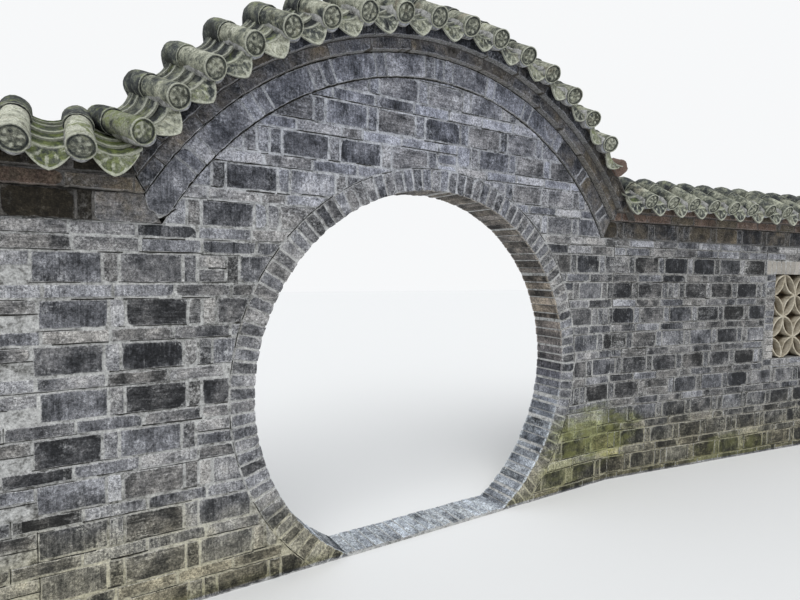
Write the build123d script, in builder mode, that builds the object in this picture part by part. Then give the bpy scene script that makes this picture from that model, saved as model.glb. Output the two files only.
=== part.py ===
from build123d import *
import os
from math import cos, degrees, radians, sin, sqrt, tan

os.makedirs("parts", exist_ok=True)

# Moon gate in a garden wall of grey brick. X runs along the gate bay, the front faces -Y, and the origin
# is on the ground under the middle of the round opening, half way through the wall.

# Driving sizes, in millimetres
brick_length = 240
brick_width = 115
brick_height = 53
mortar_joint = 10
opening_radius = 1090
ground_cut = 150
crown_depth = 495
shoulder_rise = 815
bay_inset = 90
wing_length = 3600
right_wing_turn = 9
right_cornice_rise = 70
window_start = 1870
window_width = 900
window_height = 745
window_drop = 245
frieze_projection = 15
lower_cornice_projection = 55
upper_cornice_projection = 95
eave_projection = 155
eave_thickness = 30
roof_slope = 30
tile_radius = 58
tile_row_pitch = 220
tile_disc_thickness = 42
disc_projection = 35
drip_width = 165
drip_shoulder = 40
drip_depth = 110
drip_thickness = 16
threshold_height = 20
lattice_columns = 3
lattice_rows = 2
lattice_tile_thickness = 15
lattice_recess = 10
curve_gap = 0.3

# Counts, how far the tile rows at the crest lean to the left, and the wings' first row from the gate bay
steps_on_half_arch = 9
steps_broken_off_right = 1
crest_lean_in_steps = 0.2
first_row = {"left": 190, "right": 150}
tile_sides = 8
petal_pieces = 2

# Sizes that follow from them
wall_thickness = brick_length
edge_course = brick_width + mortar_joint
flat_course = brick_height + mortar_joint
ring_width = edge_course
ring_outer_radius = opening_radius + ring_width
centre_height = opening_radius - ground_cut
arch_radius = ring_outer_radius + crown_depth
bay_half_width = arch_radius - bay_inset
left_cornice_height = centre_height + shoulder_rise
upper_cornice_thickness = flat_course
lintel_height = edge_course
lintel_bearing = brick_width + mortar_joint
sill_height = flat_course
far_reach = 2 * arch_radius
wall_half = wall_thickness / 2
quarter_arc_rise = (sqrt(2) - 1) / 2
arch_rows = {"left": steps_on_half_arch, "right": steps_on_half_arch - steps_broken_off_right}

# Heights of the crowning courses above the underside of the frieze
frieze_top = edge_course
lower_cornice_top = frieze_top + flat_course
upper_cornice_top = lower_cornice_top + upper_cornice_thickness
eave_top = upper_cornice_top + eave_thickness
eave_half_depth = wall_half + eave_projection
slope = radians(roof_slope)
ridge_point = eave_top + eave_half_depth * tan(slope)
tile_half_turn = 180 / tile_sides
tile_crest = tile_radius * cos(radians(tile_half_turn))
ridge_top = ridge_point + tile_crest / cos(slope)
row_turn = degrees(tile_row_pitch / (arch_radius + eave_top))
disc_half_depth = eave_half_depth + disc_projection
disc_level = eave_top - disc_projection * tan(slope)
course_levels = [0, frieze_top, lower_cornice_top, upper_cornice_top, ridge_top]

# Planes: the circle's own upright plane, and one ground frame for each wing with x along the wing
circle_plane = Plane(origin=(0, 0, centre_height), x_dir=(1, 0, 0), z_dir=(0, -1, 0))
turn = radians(right_wing_turn)
wings = {
    "left": Plane(origin=(-bay_half_width, 0, 0), x_dir=(-1, 0, 0), z_dir=(0, 0, 1)),
    "right": Plane(
        origin=(bay_half_width + wall_half * sin(turn), wall_half * cos(turn) - wall_half, 0),
        x_dir=(cos(turn), -sin(turn), 0),
        z_dir=(0, 0, 1),
    ),
}
side_sign = {"left": -1, "right": 1}
cornice_height = {"left": left_cornice_height, "right": left_cornice_height + right_cornice_rise}


def save(piece, name):
    piece.label = name
    export_step(piece, f"parts/{name}.step")


def upright(wing):
    # the wing's middle plane, x along the wing and y up
    return Plane(origin=wing.origin, x_dir=wing.x_dir, z_dir=wing.x_dir.cross(Vector(0, 0, 1)))


def mitre_points(side, level):
    # where the arch and the wing meet at one course, from its underside to its top, as seen on circle_plane
    base = cornice_height[side] - centre_height
    points = []
    for height in (course_levels[level], course_levels[level + 1]):
        across = sqrt((arch_radius + height) ** 2 - (base + height) ** 2)
        points.append(Vector(across, base + height))
    along = (points[1] - points[0]).normalized() * brick_length
    return points[0], points[0] - along, points[1] + along


def arch_side(side, level, cut_level):
    # outline of the room on the arch's side of that mitre, for cutting either piece
    corner, low, high = mitre_points(side, level)
    sign = side_sign[side]
    if cut_level:
        outline = [(0, corner.Y), (sign * corner.X, corner.Y)]
    else:
        outline = [(0, low.Y), (sign * low.X, low.Y)]
    outline += [(sign * high.X, high.Y), (sign * high.X, far_reach), (0, far_reach)]
    return outline


# The ring of bricks on end round the opening, in three lengths on each side

def ring_segment(side, start, end):
    sign = side_sign[side]
    middle = (start + end) / 2
    fan = [(sign * far_reach * sin(radians(a)), far_reach * cos(radians(a))) for a in (start, middle, end)]
    with BuildPart() as segment:
        with BuildSketch(circle_plane):
            Circle(ring_outer_radius)
            Circle(opening_radius, mode=Mode.SUBTRACT)
            Polygon((0, 0), *fan, align=None, mode=Mode.INTERSECT)
            with Locations((0, -centre_height)):
                Rectangle(far_reach, far_reach, align=(Align.CENTER, Align.MIN), mode=Mode.INTERSECT)
        extrude(amount=wall_half, both=True)
    return segment.part


# Flush masonry of the gate bay: pier below the centre, shoulder up to the frieze, crown under the arch

def pier(side):
    with BuildPart() as masonry:
        with BuildSketch(circle_plane):
            with Locations((side_sign[side] * bay_half_width / 2, -centre_height / 2)):
                Rectangle(bay_half_width, centre_height)
            Circle(ring_outer_radius + curve_gap, mode=Mode.SUBTRACT)
        extrude(amount=wall_half, both=True)
    return masonry.part


def shoulder(side):
    rise = cornice_height[side] - centre_height
    with BuildPart() as masonry:
        with BuildSketch(circle_plane):
            with Locations((side_sign[side] * bay_half_width / 2, rise / 2)):
                Rectangle(bay_half_width, rise)
            Circle(ring_outer_radius + curve_gap, mode=Mode.SUBTRACT)
        extrude(amount=wall_half, both=True)
    return masonry.part


def crown(side):
    rise = cornice_height[side] - centre_height
    with BuildPart() as masonry:
        with BuildSketch(circle_plane):
            Circle(arch_radius)
            with Locations((side_sign[side] * arch_radius / 2, rise)):
                Rectangle(arch_radius, arch_radius, align=(Align.CENTER, Align.MIN), mode=Mode.INTERSECT)
            Circle(ring_outer_radius + curve_gap, mode=Mode.SUBTRACT)
        extrude(amount=wall_half, both=True)
    return masonry.part


# Courses that follow the arch: frieze, lower and upper cornice, each a half ring with a mitred foot

def arch_course(side, level, projection):
    inner_radius = arch_radius + course_levels[level] + curve_gap
    with BuildPart() as course:
        with BuildSketch(circle_plane):
            Circle(arch_radius + course_levels[level + 1])
            Circle(inner_radius, mode=Mode.SUBTRACT)
            Polygon(*arch_side(side, level, True), align=None, mode=Mode.INTERSECT)
        extrude(amount=wall_half + projection, both=True)
    return course.part


# The tiled cap: a bed, barrel rows with round ends, and drip tiles between them. Each is made once, with x
# along the roof and z = 0 at the underside of the frieze, and copies are stood on foot planes.

def cap_section(bottom):
    with BuildSketch(mode=Mode.PRIVATE) as section:
        Polygon(
            (-eave_half_depth, bottom),
            (eave_half_depth, bottom),
            (eave_half_depth, eave_top),
            (0, ridge_point),
            (-eave_half_depth, eave_top),
            align=None,
        )
    return section.sketch


def bed_step():
    # the arch's bed over one step, flat on top, with ends that aim at the middle of the circle
    half_step = radians(row_turn / 2)
    reach = arch_radius + ridge_point
    with BuildPart() as bed:
        with BuildSketch(Plane.YZ):
            add(cap_section(frieze_top))
        extrude(amount=tile_row_pitch, both=True)
        with BuildSketch(Plane.XZ):
            with Locations((0, -arch_radius)):
                Polygon((0, 0), (-reach * tan(half_step), reach), (reach * tan(half_step), reach), align=None)
        extrude(amount=far_reach, both=True, mode=Mode.INTERSECT)
    return bed.part


def tile_row():
    # both slopes of one barrel row, from discs that stand out past the drips to where they cross at the ridge
    bar_length = disc_half_depth / cos(slope) + tile_crest * tan(slope)
    with BuildPart() as row:
        for face, outwards in ((-1, Align.MAX), (1, Align.MIN)):
            uphill = (0, -face * cos(slope), sin(slope))
            eave = Plane(origin=(0, face * disc_half_depth, disc_level), x_dir=(1, 0, 0), z_dir=uphill)
            with BuildSketch(eave):
                RegularPolygon(tile_radius, tile_sides, rotation=tile_half_turn)
            extrude(amount=tile_disc_thickness)
            with BuildSketch(eave):
                RegularPolygon(tile_radius, tile_sides, rotation=tile_half_turn)
                Rectangle(
                    2 * tile_radius, tile_radius, align=(Align.CENTER, outwards), mode=Mode.INTERSECT
                )
            extrude(amount=bar_length)
    return row.part


def drip_tile():
    with BuildPart() as tile:
        for face in (-1, 1):
            front = face * eave_half_depth
            hang = Plane(origin=(0, front, eave_top), x_dir=(face, 0, 0), z_dir=(0, -face, 0))
            with BuildSketch(hang):
                Polygon(
                    (-drip_width / 2, 0),
                    (-drip_width / 2, -drip_shoulder),
                    (0, -drip_depth),
                    (drip_width / 2, -drip_shoulder),
                    (drip_width / 2, 0),
                    align=None,
                )
            extrude(amount=drip_thickness)
    return tile.part


def arch_foot(side, step):
    # the plane that stands on the frieze's underside, some steps from the top of the arch
    angle = radians(row_turn * step)
    outwards = Vector(side_sign[side] * sin(angle), 0, cos(angle))
    origin = Vector(0, 0, centre_height) + outwards * arch_radius
    return Plane(origin=origin, x_dir=(cos(angle), 0, -side_sign[side] * sin(angle)), z_dir=outwards)


def row_foot(side, step):
    # the same plane for tiles, which lean to the left of an even spacing, most at the crest
    lean = crest_lean_in_steps * (1 - (step / steps_on_half_arch) ** 2)
    return arch_foot(side, step - side_sign[side] * lean)


def wing_foot(side, step):
    across = first_row[side] + tile_row_pitch * step
    origin = wings[side].from_local_coords(Vector(across, 0, cornice_height[side]))
    return Plane(origin=origin, x_dir=wings[side].x_dir, z_dir=(0, 0, 1))


def arch_roof(side):
    # drips stand at whole steps from the top, barrel rows half way between them
    bed = bed_step()
    row = tile_row()
    drip = drip_tile()
    pieces = [bed.moved(arch_foot(side, step + 0.5).location) for step in range(steps_on_half_arch + 1)]
    pieces += [row.moved(row_foot(side, step + 0.5).location) for step in range(arch_rows[side])]
    pieces += [drip.moved(row_foot(side, step).location) for step in range(arch_rows[side])]
    with BuildPart() as roof:
        add(pieces)
        with BuildSketch(circle_plane):
            Polygon(*arch_side(side, 3, True), align=None)
            Circle(arch_radius + upper_cornice_top + curve_gap, mode=Mode.SUBTRACT)
        extrude(amount=far_reach, both=True, mode=Mode.INTERSECT)
    return roof.part


# Straight courses and cap of a wing, cut back to the same mitre

def wing_course(side, level, projection):
    wing = wings[side]
    bottom = cornice_height[side] + course_levels[level]
    height = course_levels[level + 1] - course_levels[level]
    with BuildPart() as course:
        with BuildSketch(upright(wing)):
            with Locations((-brick_length, bottom)):
                Rectangle(wing_length + brick_length, height, align=(Align.MIN, Align.MIN))
        extrude(amount=wall_half + projection, both=True)
        with BuildSketch(circle_plane):
            Polygon(*arch_side(side, level, False), align=None)
        extrude(amount=far_reach, both=True, mode=Mode.SUBTRACT)
    return course.part


def wing_roof(side):
    wing = wings[side]
    start = wing.from_local_coords(Vector(-brick_length, 0, cornice_height[side]))
    row = tile_row()
    drip = drip_tile()
    rows_on_wing = 1 + int((wing_length - first_row[side] - tile_radius) / tile_row_pitch)
    pieces = [row.moved(wing_foot(side, step).location) for step in range(rows_on_wing)]
    pieces += [drip.moved(wing_foot(side, step - 0.5).location) for step in range(rows_on_wing)]
    with BuildPart() as roof:
        with BuildSketch(Plane(origin=start, x_dir=wing.y_dir, z_dir=wing.x_dir)):
            add(cap_section(upper_cornice_top))
        extrude(amount=wing_length + brick_length)
        add(pieces)
        with BuildSketch(circle_plane):
            Polygon(*arch_side(side, 3, False), align=None)
        extrude(amount=far_reach, both=True, mode=Mode.SUBTRACT)
    return roof.part


# Walls of a wing: beside, under and over its window

def wall_panel(side, start, end, bottom, top, notches=()):
    # notches are (start, end, bottom, top) on the same upright plane
    with BuildPart() as panel:
        with BuildSketch(upright(wings[side])):
            with Locations((start, bottom)):
                Rectangle(end - start, top - bottom, align=(Align.MIN, Align.MIN))
            for left, right, low, high in notches:
                with Locations((left, low)):
                    Rectangle(right - left, high - low, align=(Align.MIN, Align.MIN), mode=Mode.SUBTRACT)
        extrude(amount=wall_half, both=True)
        with BuildSketch(Plane.XY):
            Rectangle(2 * bay_half_width, 2 * wall_thickness)
        extrude(amount=top, mode=Mode.SUBTRACT)
    return panel.part


def petal_strip(start, end, bulge):
    # one bent tile of the lattice as a band of straight lengths
    chord = end - start
    normal = Vector(-chord.Y, chord.X).normalized()
    centre_line = []
    for step in range(petal_pieces + 1):
        t = step / petal_pieces
        centre_line.append(start + chord * t + normal * (bulge * 4 * t * (1 - t)))
    half = lattice_tile_thickness / 2
    outer = []
    inner = []
    for step, point in enumerate(centre_line):
        before = centre_line[max(step - 1, 0)]
        after = centre_line[min(step + 1, petal_pieces)]
        across = Vector(before.Y - after.Y, after.X - before.X).normalized() * half
        outer.append(point + across)
        inner.append(point - across)
    return outer + inner[::-1]


def lattice(side, bottom):
    half_width = window_width / lattice_columns / 2
    half_height = window_height / lattice_rows / 2
    bulge = quarter_arc_rise * sqrt(half_width ** 2 + half_height ** 2)
    with BuildPart() as screen:
        with BuildSketch(upright(wings[side])):
            for column in range(lattice_columns):
                for row in range(lattice_rows):
                    centre = Vector(
                        window_start + (2 * column + 1) * half_width, bottom + (2 * row + 1) * half_height
                    )
                    corners = [
                        centre + Vector(half_width, 0),
                        centre + Vector(0, half_height),
                        centre - Vector(half_width, 0),
                        centre - Vector(0, half_height),
                    ]
                    for number in range(4):
                        for way in (-1, 1):
                            strip = petal_strip(corners[number - 1], corners[number], way * bulge)
                            Polygon(*strip, align=None)
            with Locations((window_start, bottom)):
                Rectangle(window_width, window_height, align=(Align.MIN, Align.MIN), mode=Mode.INTERSECT)
        extrude(amount=wall_half - lattice_recess, both=True)
    return screen.part


def threshold():
    with BuildPart() as strip:
        with BuildSketch(circle_plane):
            Circle(opening_radius - curve_gap)
            with Locations((0, -centre_height)):
                Rectangle(
                    far_reach, threshold_height, align=(Align.CENTER, Align.MIN), mode=Mode.INTERSECT
                )
        extrude(amount=wall_half, both=True)
    return strip.part


# the ring's lengths as angles from the top, where the last runs down to the ground
ring_parts = {"top": (0, 45), "side": (45, 90), "foot": (90, 180)}
course_projections = {
    "frieze": frieze_projection,
    "lower_cornice": lower_cornice_projection,
    "upper_cornice": upper_cornice_projection,
}

save(threshold(), "threshold")
for side in wings:
    top = cornice_height[side]
    window_end = window_start + window_width
    window_top = top - window_drop
    window_bottom = window_top - window_height
    lintel_top = window_top + lintel_height
    sill_bottom = window_bottom - sill_height

    for part_name, (start, end) in ring_parts.items():
        save(ring_segment(side, start, end), f"{side}_ring_{part_name}")
    save(pier(side), f"{side}_pier")
    save(shoulder(side), f"{side}_shoulder")
    save(crown(side), f"{side}_crown")
    for level, (name, projection) in enumerate(course_projections.items()):
        save(arch_course(side, level, projection), f"{side}_arch_{name}")
        save(wing_course(side, level, projection), f"{side}_wing_{name}")
    save(arch_roof(side), f"{side}_arch_roof")
    save(wing_roof(side), f"{side}_wing_roof")

    near_notch = (window_start - lintel_bearing, window_start, window_top, lintel_top)
    far_notch = (window_end, window_end + lintel_bearing, window_top, lintel_top)
    save(wall_panel(side, -wall_half, window_start, 0, top, [near_notch]), f"{side}_wall_near")
    save(wall_panel(side, window_end, wing_length, 0, top, [far_notch]), f"{side}_wall_far")
    save(wall_panel(side, window_start, window_end, 0, sill_bottom), f"{side}_wall_below_window")
    save(wall_panel(side, window_start, window_end, lintel_top, top), f"{side}_wall_above_window")
    save(wall_panel(side, window_start, window_end, sill_bottom, window_bottom), f"{side}_window_sill")
    save(wall_panel(side, near_notch[0], far_notch[1], window_top, lintel_top), f"{side}_window_lintel")
    save(lattice(side, window_bottom), f"{side}_window_lattice")
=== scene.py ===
import bpy
import bmesh
import random
from itertools import chain, cycle
from math import asin, atan2, ceil, cos, dist, hypot, pi, radians, sin, sqrt, tan
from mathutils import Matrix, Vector, noise
from mathutils.geometry import delaunay_2d_cdt


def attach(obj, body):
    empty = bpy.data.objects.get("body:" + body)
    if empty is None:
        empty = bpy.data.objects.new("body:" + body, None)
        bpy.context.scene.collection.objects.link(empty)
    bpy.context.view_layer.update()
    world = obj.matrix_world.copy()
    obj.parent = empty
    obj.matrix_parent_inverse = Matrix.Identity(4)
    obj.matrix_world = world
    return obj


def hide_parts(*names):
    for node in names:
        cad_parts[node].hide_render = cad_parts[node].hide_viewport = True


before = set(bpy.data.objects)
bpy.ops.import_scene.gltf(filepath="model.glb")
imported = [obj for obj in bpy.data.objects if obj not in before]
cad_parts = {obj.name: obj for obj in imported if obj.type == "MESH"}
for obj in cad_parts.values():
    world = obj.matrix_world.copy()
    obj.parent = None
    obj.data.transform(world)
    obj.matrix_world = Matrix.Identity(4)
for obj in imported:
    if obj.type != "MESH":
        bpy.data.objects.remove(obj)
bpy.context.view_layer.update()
print("frame loaded")

# Sizes of the gate in metres, the same as in the part's source
gate = {
    "openingRadius": 1.090,
    "ringRadius": 1.215,
    "archRadius": 1.710,
    "centreHeight": 0.940,
    "bayHalf": 1.620,
    "wingLength": 3.600,
    "rightTurn": 9.0,
    "wallHalf": 0.120,
    "cornice": {"left": 1.755, "right": 1.825},
    "levels": [0.0, 0.125, 0.188, 0.251],  # undersides of frieze, lower and upper cornice, and the top of the last
    "outs": [0.015, 0.055, 0.095],  # how far the three courses stand out
    "brick": (0.240, 0.053),  # length and thickness
    "joint": 0.010,
}
centreHeight, bayHalf, wingLength = gate["centreHeight"], gate["bayHalf"], gate["wingLength"]
openingRadius, ringRadius, archRadius = gate["openingRadius"], gate["ringRadius"], gate["archRadius"]
corniceOf, wallHalf, joint = gate["cornice"], gate["wallHalf"], gate["joint"]
longBrick, thinBrick = gate["brick"]
signOf = {"left": -1, "right": 1}
mortarSlot, shadowLineSlot = 1, 2  # material numbers; 0 is always the piece's own brick or tile, 1 the mortar, 2 the painted shadow in open joints


class Stand:
    # a place to build on: u runs along the wall, v up and w out towards the front
    def __init__(self, origin, along, up, out):
        self.origin, self.along, self.up, self.out = Vector(origin), Vector(along), Vector(up), Vector(out)

    def point(self, u, v, w):
        return self.origin + self.along * u + self.up * v + self.out * w

    def moved(self, u, v):
        return Stand(self.point(u, v, 0), self.along, self.up, self.out)


turn = radians(gate["rightTurn"])
rightOrigin = (bayHalf + wallHalf * sin(turn), wallHalf * cos(turn) - wallHalf, 0)
bayStand = Stand((0, 0, 0), (1, 0, 0), (0, 0, 1), (0, -1, 0))
wingStand = {
    "left": Stand((-bayHalf, 0, 0), (-1, 0, 0), (0, 0, 1), (0, -1, 0)),
    "right": Stand(rightOrigin, (cos(turn), -sin(turn), 0), (0, 0, 1), (-sin(turn), -cos(turn), 0)),
}


class Pile:
    # gathers closed shells, each point with its look: tone, edge wear, hue and stain
    def __init__(self):
        self.points, self.faces, self.slots, self.looks = [], [], [], []

    def shell(self, points, faces, looks, slot=0):
        # nothing goes below the ground
        base = len(self.points)
        self.points.extend(Vector((point.x, point.y, max(point.z, 0.0))) for point in points)
        self.looks.extend(looks)
        self.faces.extend(tuple(base + number for number in face) for face in faces)
        self.slots.extend([slot] * len(faces))


def addObject(name, data):
    made = bpy.data.objects.new(name, data)
    bpy.context.scene.collection.objects.link(made)
    return made


def makePiece(side, name, pile, materials, slotName, *nodes, sharp=38):
    name = side + name
    mesh = bpy.data.meshes.new(name)
    mesh.from_pydata([tuple(point) for point in pile.points], [], pile.faces)
    mesh.polygons.foreach_set("material_index", pile.slots)
    look = mesh.attributes.new("look", "FLOAT_COLOR", "POINT")
    look.data.foreach_set("color", [part for row in pile.looks for part in row])
    shape = bmesh.new()
    shape.from_mesh(mesh)
    bmesh.ops.recalc_face_normals(shape, faces=shape.faces)
    shape.to_mesh(mesh)
    shape.free()
    mesh.shade_smooth()
    mesh.set_sharp_from_angle(angle=radians(sharp))
    for material in materials:
        mesh.materials.append(material)
    piece = addObject(name, mesh)
    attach(piece, "root")
    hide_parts(*[side + "_" + node if side else node for node in nodes])
    print("made", name, "with", sum(len(face) - 2 for face in pile.faces), "triangles")


# Flat outlines: lists of (u, v)

def sidesOf(outline):
    return zip(outline, outline[1:] + outline[:1])


def outlineArea(outline):
    return sum(u0 * v1 - u1 * v0 for (u0, v0), (u1, v1) in sidesOf(outline)) / 2


def clamp(value, low=0, high=1):
    return min(max(value, low), high)


def between(first, second, part):
    return (first[0] + (second[0] - first[0]) * part, first[1] + (second[1] - first[1]) * part)


def onCircle(radius, angle, sign=1):
    # a point on a circle round the middle of the opening, by its angle from the top
    return (sign * radius * sin(angle), centreHeight + radius * cos(angle))


def mirrored(outline, side):
    return [(signOf[side] * u, v) for u, v in outline]


def rectangle(u0, u1, v0, v1):
    return [(u0, v0), (u1, v0), (u1, v1), (u0, v1)]


def dense(outline, step):
    points = []
    for (u0, v0), (u1, v1) in sidesOf(outline):
        length = hypot(u1 - u0, v1 - v0)
        if length >= 0.002:
            count = max(1, ceil(length / step))
            points += [(u0 + (u1 - u0) * k / count, v0 + (v1 - v0) * k / count) for k in range(count)]
    return points


def clipHalf(outline, corner, normal):
    # keeps what lies on the side the normal points to
    kept = []
    for start, end in sidesOf(outline):
        first = (start[0] - corner[0]) * normal[0] + (start[1] - corner[1]) * normal[1]
        second = (end[0] - corner[0]) * normal[0] + (end[1] - corner[1]) * normal[1]
        if first >= 0:
            kept.append(start)
        if first * second < 0:
            kept.append(between(start, end, first / (first - second)))
    return kept


def clipCircle(outline, radius, keepInside):
    # cuts an outline by a circle round the middle of the opening, and follows the arc along the cut
    def inside(point):
        return (hypot(point[0], point[1] - centreHeight) < radius) == keepInside

    def crossing(start, end):
        low, high = 0.0, 1.0
        for _ in range(14):
            middle = (low + high) / 2
            if inside(between(start, end, middle)) == inside(start):
                low = middle
            else:
                high = middle
        return between(start, end, low)

    points = dense(outline, 0.02)
    flags = [inside(point) for point in points]
    if all(flags):
        return outline
    if not any(flags):
        return []
    begin = next(k for k in range(len(points)) if flags[k] and not flags[k - 1])
    points = points[begin:] + points[:begin]
    kept = []
    for start, end in sidesOf(points):
        if inside(start):
            kept.append(start)
            if not inside(end):
                leaving = crossing(start, end)
                kept.append(leaving)
        elif inside(end):
            entering = crossing(start, end)
            first, last = (atan2(u, v - centreHeight) for u, v in (leaving, entering))
            last -= 2 * pi * round((last - first) / (2 * pi))
            count = max(1, ceil(abs(last - first) * radius / 0.025))
            kept += [onCircle(radius, first + (last - first) * k / count) for k in range(1, count)]
            kept.append(entering)
    return kept


def arcCell(a0, a1, r0, r1):
    # a cell between two angles from the top of the circle and two radii
    count = max(1, ceil(abs(a1 - a0) * r1 / 0.03))
    angles = [a0 + (a1 - a0) * k / count for k in range(count + 1)]
    return [onCircle(r0, angle) for angle in angles] + [onCircle(r1, angle) for angle in reversed(angles)]


def bandFaces(first, second, count):
    # quads between two closed rings of points
    return [(first + k, first + (k + 1) % count, second + (k + 1) % count, second + k) for k in range(count)]


def fillLoop(loop, seeds):
    # triangles over a closed loop and the points inside it, as numbers into loop + seeds
    flat = [Vector(point) for point in loop + seeds]
    result = delaunay_2d_cdt(flat, [], [list(range(len(loop)))], 1, 1e-6)
    origins = result[3]
    return [[origins[number][0] for number in face] for face in result[2] if all(origins[number] for number in face)]


def insideLoop(point, loop):
    hit = False
    u, v = point
    for (u0, v0), (u1, v1) in sidesOf(loop):
        if (v0 > v) != (v1 > v) and u < (u1 - u0) * (v - v0) / (v1 - v0) + u0:
            hit = not hit
    return hit


# One brick: an outline with a worn edge, a slightly uneven face and a bevel

brickWear = {
    "bevel": 0.0030,
    "plainBevel": 0.0020,
    "edgeJitter": 0.0013,
    "faceRoughness": 0.0018,
    "tilt": 0.012,
    "standOut": 0.0022,
    "chipChance": 0.20,
    "chipSize": (0.003, 0.012),
    "borderStep": 0.030,
    "faceStep": 0.045,
    "clearOfRim": 0.014,
    "smallest": 0.0005,  # area of a brick too small to be laid
    "worn": {"back": 0.9, "side": 0.3, "edge": 1.0, "rim": 0.8, "face": 0.0},
}


def brick(pile, stand, outline, face, back, look, draw, through=False, rings=1, plain=False):
    # through: worn on both faces; rings: how often its sides are divided; plain: a small moulded tile
    wear, worn = brickWear, brickWear["worn"]
    bevel = wear["plainBevel" if plain else "bevel"]
    loop = dense(outline, wear["borderStep"])
    if len(loop) < 3 or abs(outlineArea(loop)) < wear["smallest"]:
        return
    if outlineArea(loop) < 0:
        loop.reverse()
    count = len(loop)
    outer, inner = [], []
    for k, (u, v) in enumerate(loop):
        pu, pv = loop[k - 1]
        nu, nv = loop[(k + 1) % count]
        size = hypot(nu - pu, nv - pv) or 1
        out = ((nv - pv) / size, (pu - nu) / size)
        bend = (u - pu) * (nv - v) - (v - pv) * (nu - u)
        push = draw.gauss(0, wear["edgeJitter"])
        if bend > 0.5 * hypot(u - pu, v - pv) * hypot(nu - u, nv - v) and draw.random() < wear["chipChance"]:
            push -= draw.uniform(*wear["chipSize"])
        outer.append((u + out[0] * push, v + out[1] * push))
        inner.append((u + out[0] * (push - bevel), v + out[1] * (push - bevel)))
    way = 1 if face > back else -1
    shift = draw.uniform(-1, 1) * wear["standOut"]
    leanU, leanV = draw.uniform(-1, 1) * wear["tilt"], draw.uniform(-1, 1) * wear["tilt"]
    midU, midV = (sum(point[axis] for point in outer) / count for axis in (0, 1))
    seed = draw.uniform(0, 50)
    seeds = []
    if not plain:
        lowU, highU, lowV, highV = (pick(p[axis] for p in inner) for axis in (0, 1) for pick in (min, max))
        columns = max(1, round((highU - lowU) / wear["faceStep"]))
        rows = max(2, round((highV - lowV) / wear["faceStep"]))
        for i in range(1, columns):
            for j in range(1, rows):
                u = lowU + (highU - lowU) * (i + draw.uniform(-0.2, 0.2)) / columns
                v = lowV + (highV - lowV) * (j + draw.uniform(-0.15, 0.15)) / rows
                if insideLoop((u, v), inner) and min(dist((u, v), p) for p in inner) > wear["clearOfRim"]:
                    seeds.append((u, v))
    triangles = fillLoop(inner, seeds)
    tone, hue, stain = look
    points, looks, faces = [], [], []

    def height(u, v):
        bump = noise.noise(Vector((u * 17, v * 17, seed))) * wear["faceRoughness"]
        return shift + (u - midU) * leanU + (v - midV) * leanV + bump

    def addLoop(ring, edge, level, rough=0):
        points.extend(stand.point(u, v, level + rough * height(u, v)) for u, v in ring)
        looks.extend([(tone, edge, hue, stain)] * len(ring))
        return len(points) - len(ring)

    def cover(level, rough, outerRing):
        base = addLoop(inner, worn["rim"], level, rough)
        addLoop(seeds, worn["face"], level, rough)
        faces.extend(bandFaces(outerRing, base, count))
        faces.extend(tuple(base + number for number in triangle) for triangle in triangles)

    deep = [addLoop(outer, worn["back"], back + (way * bevel if through else 0))]
    deep += [addLoop(outer, worn["side"], back + (face - back) * (ring / rings)) for ring in range(1, rings)]
    deep.append(addLoop(outer, worn["edge"], face - way * bevel, way))
    for first, second in zip(deep, deep[1:]):
        faces.extend(bandFaces(first, second, count))
    cover(face, way, deep[-1])
    if through:
        cover(back, -way, deep[0])
    else:
        faces.append(tuple(range(count)))
    pile.shell(points, faces, looks)


def throughBrick(pile, stand, outline, look, draw, rings=3, proud=0):
    brick(pile, stand, outline, wallHalf + proud, -wallHalf, look, draw, True, rings)


def slab(pile, stand, outline, front, back, hue=0.5, stain=0.0):
    # plain filling between the bricks, a closed solid on an outline; its stain darkens the mortar, real dirt on the
    # walls and painted shade under the cornices and tiles
    loop = dense(outline, 0.3)
    if outlineArea(loop) < 0:
        loop.reverse()
    count = len(loop)
    triangles = fillLoop(loop, [])
    points = [stand.point(u, v, w) for w in (front, back) for u, v in loop]
    faces = bandFaces(0, count, count)
    faces += [tuple(base + number for number in triangle) for base in (0, count) for triangle in triangles]
    pile.shell(points, faces, [(0.5, 0.0, hue, stain)] * len(points), mortarSlot)


shadowCrackShape = {
    "depths": (0.0018, 0.0056),  # where the strip starts and ends behind the brick faces
    "shortest": 0.02, "step": 0.045, "drift": 0.0013,
    "halfWidths": (0.12, 0.66),  # in widths
}


def shadowCrack(pile, stand, start, end, face, draw, width=0.0036):
    # a dark line, partly washed-out mortar and partly the painted shadow under a course or a moulding, a thin jagged
    # strip just proud of the mortar
    length = dist(start, end)
    if length < shadowCrackShape["shortest"]:
        return
    along = ((end[0] - start[0]) / length, (end[1] - start[1]) / length)
    count = max(2, ceil(length / shadowCrackShape["step"]))
    upper, lower = [], []
    for k in range(count + 1):
        u, v = start[0] + along[0] * length * k / count, start[1] + along[1] * length * k / count
        drift = draw.uniform(-shadowCrackShape["drift"], shadowCrackShape["drift"])
        half = width * draw.uniform(*shadowCrackShape["halfWidths"])
        for line, push in ((upper, drift + half), (lower, drift - half)):
            line.append((u - along[1] * push, v + along[0] * push))
    way = 1 if face > 0 else -1
    points = [stand.point(u, v, face - way * depth) for depth in shadowCrackShape["depths"] for u, v in lower + upper]
    size, half = len(points) // 2, count + 1
    faces = []
    for k in range(count):
        faces.append((k, k + 1, half + k + 1, half + k))
        faces.append((size + k, size + half + k, size + half + k + 1, size + k + 1))
        faces.append((k, size + k, size + k + 1, k + 1))
        faces.append((half + k, half + k + 1, size + half + k + 1, size + half + k))
    faces += [(k, half + k, size + half + k, size + k) for k in (0, count)]
    pile.shell(points, faces, [(0.2, 0.0, 0.5, 0.0)] * len(points), shadowLineSlot)


# Materials: values in a shader written as maths, with +, -, *, / and **

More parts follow.
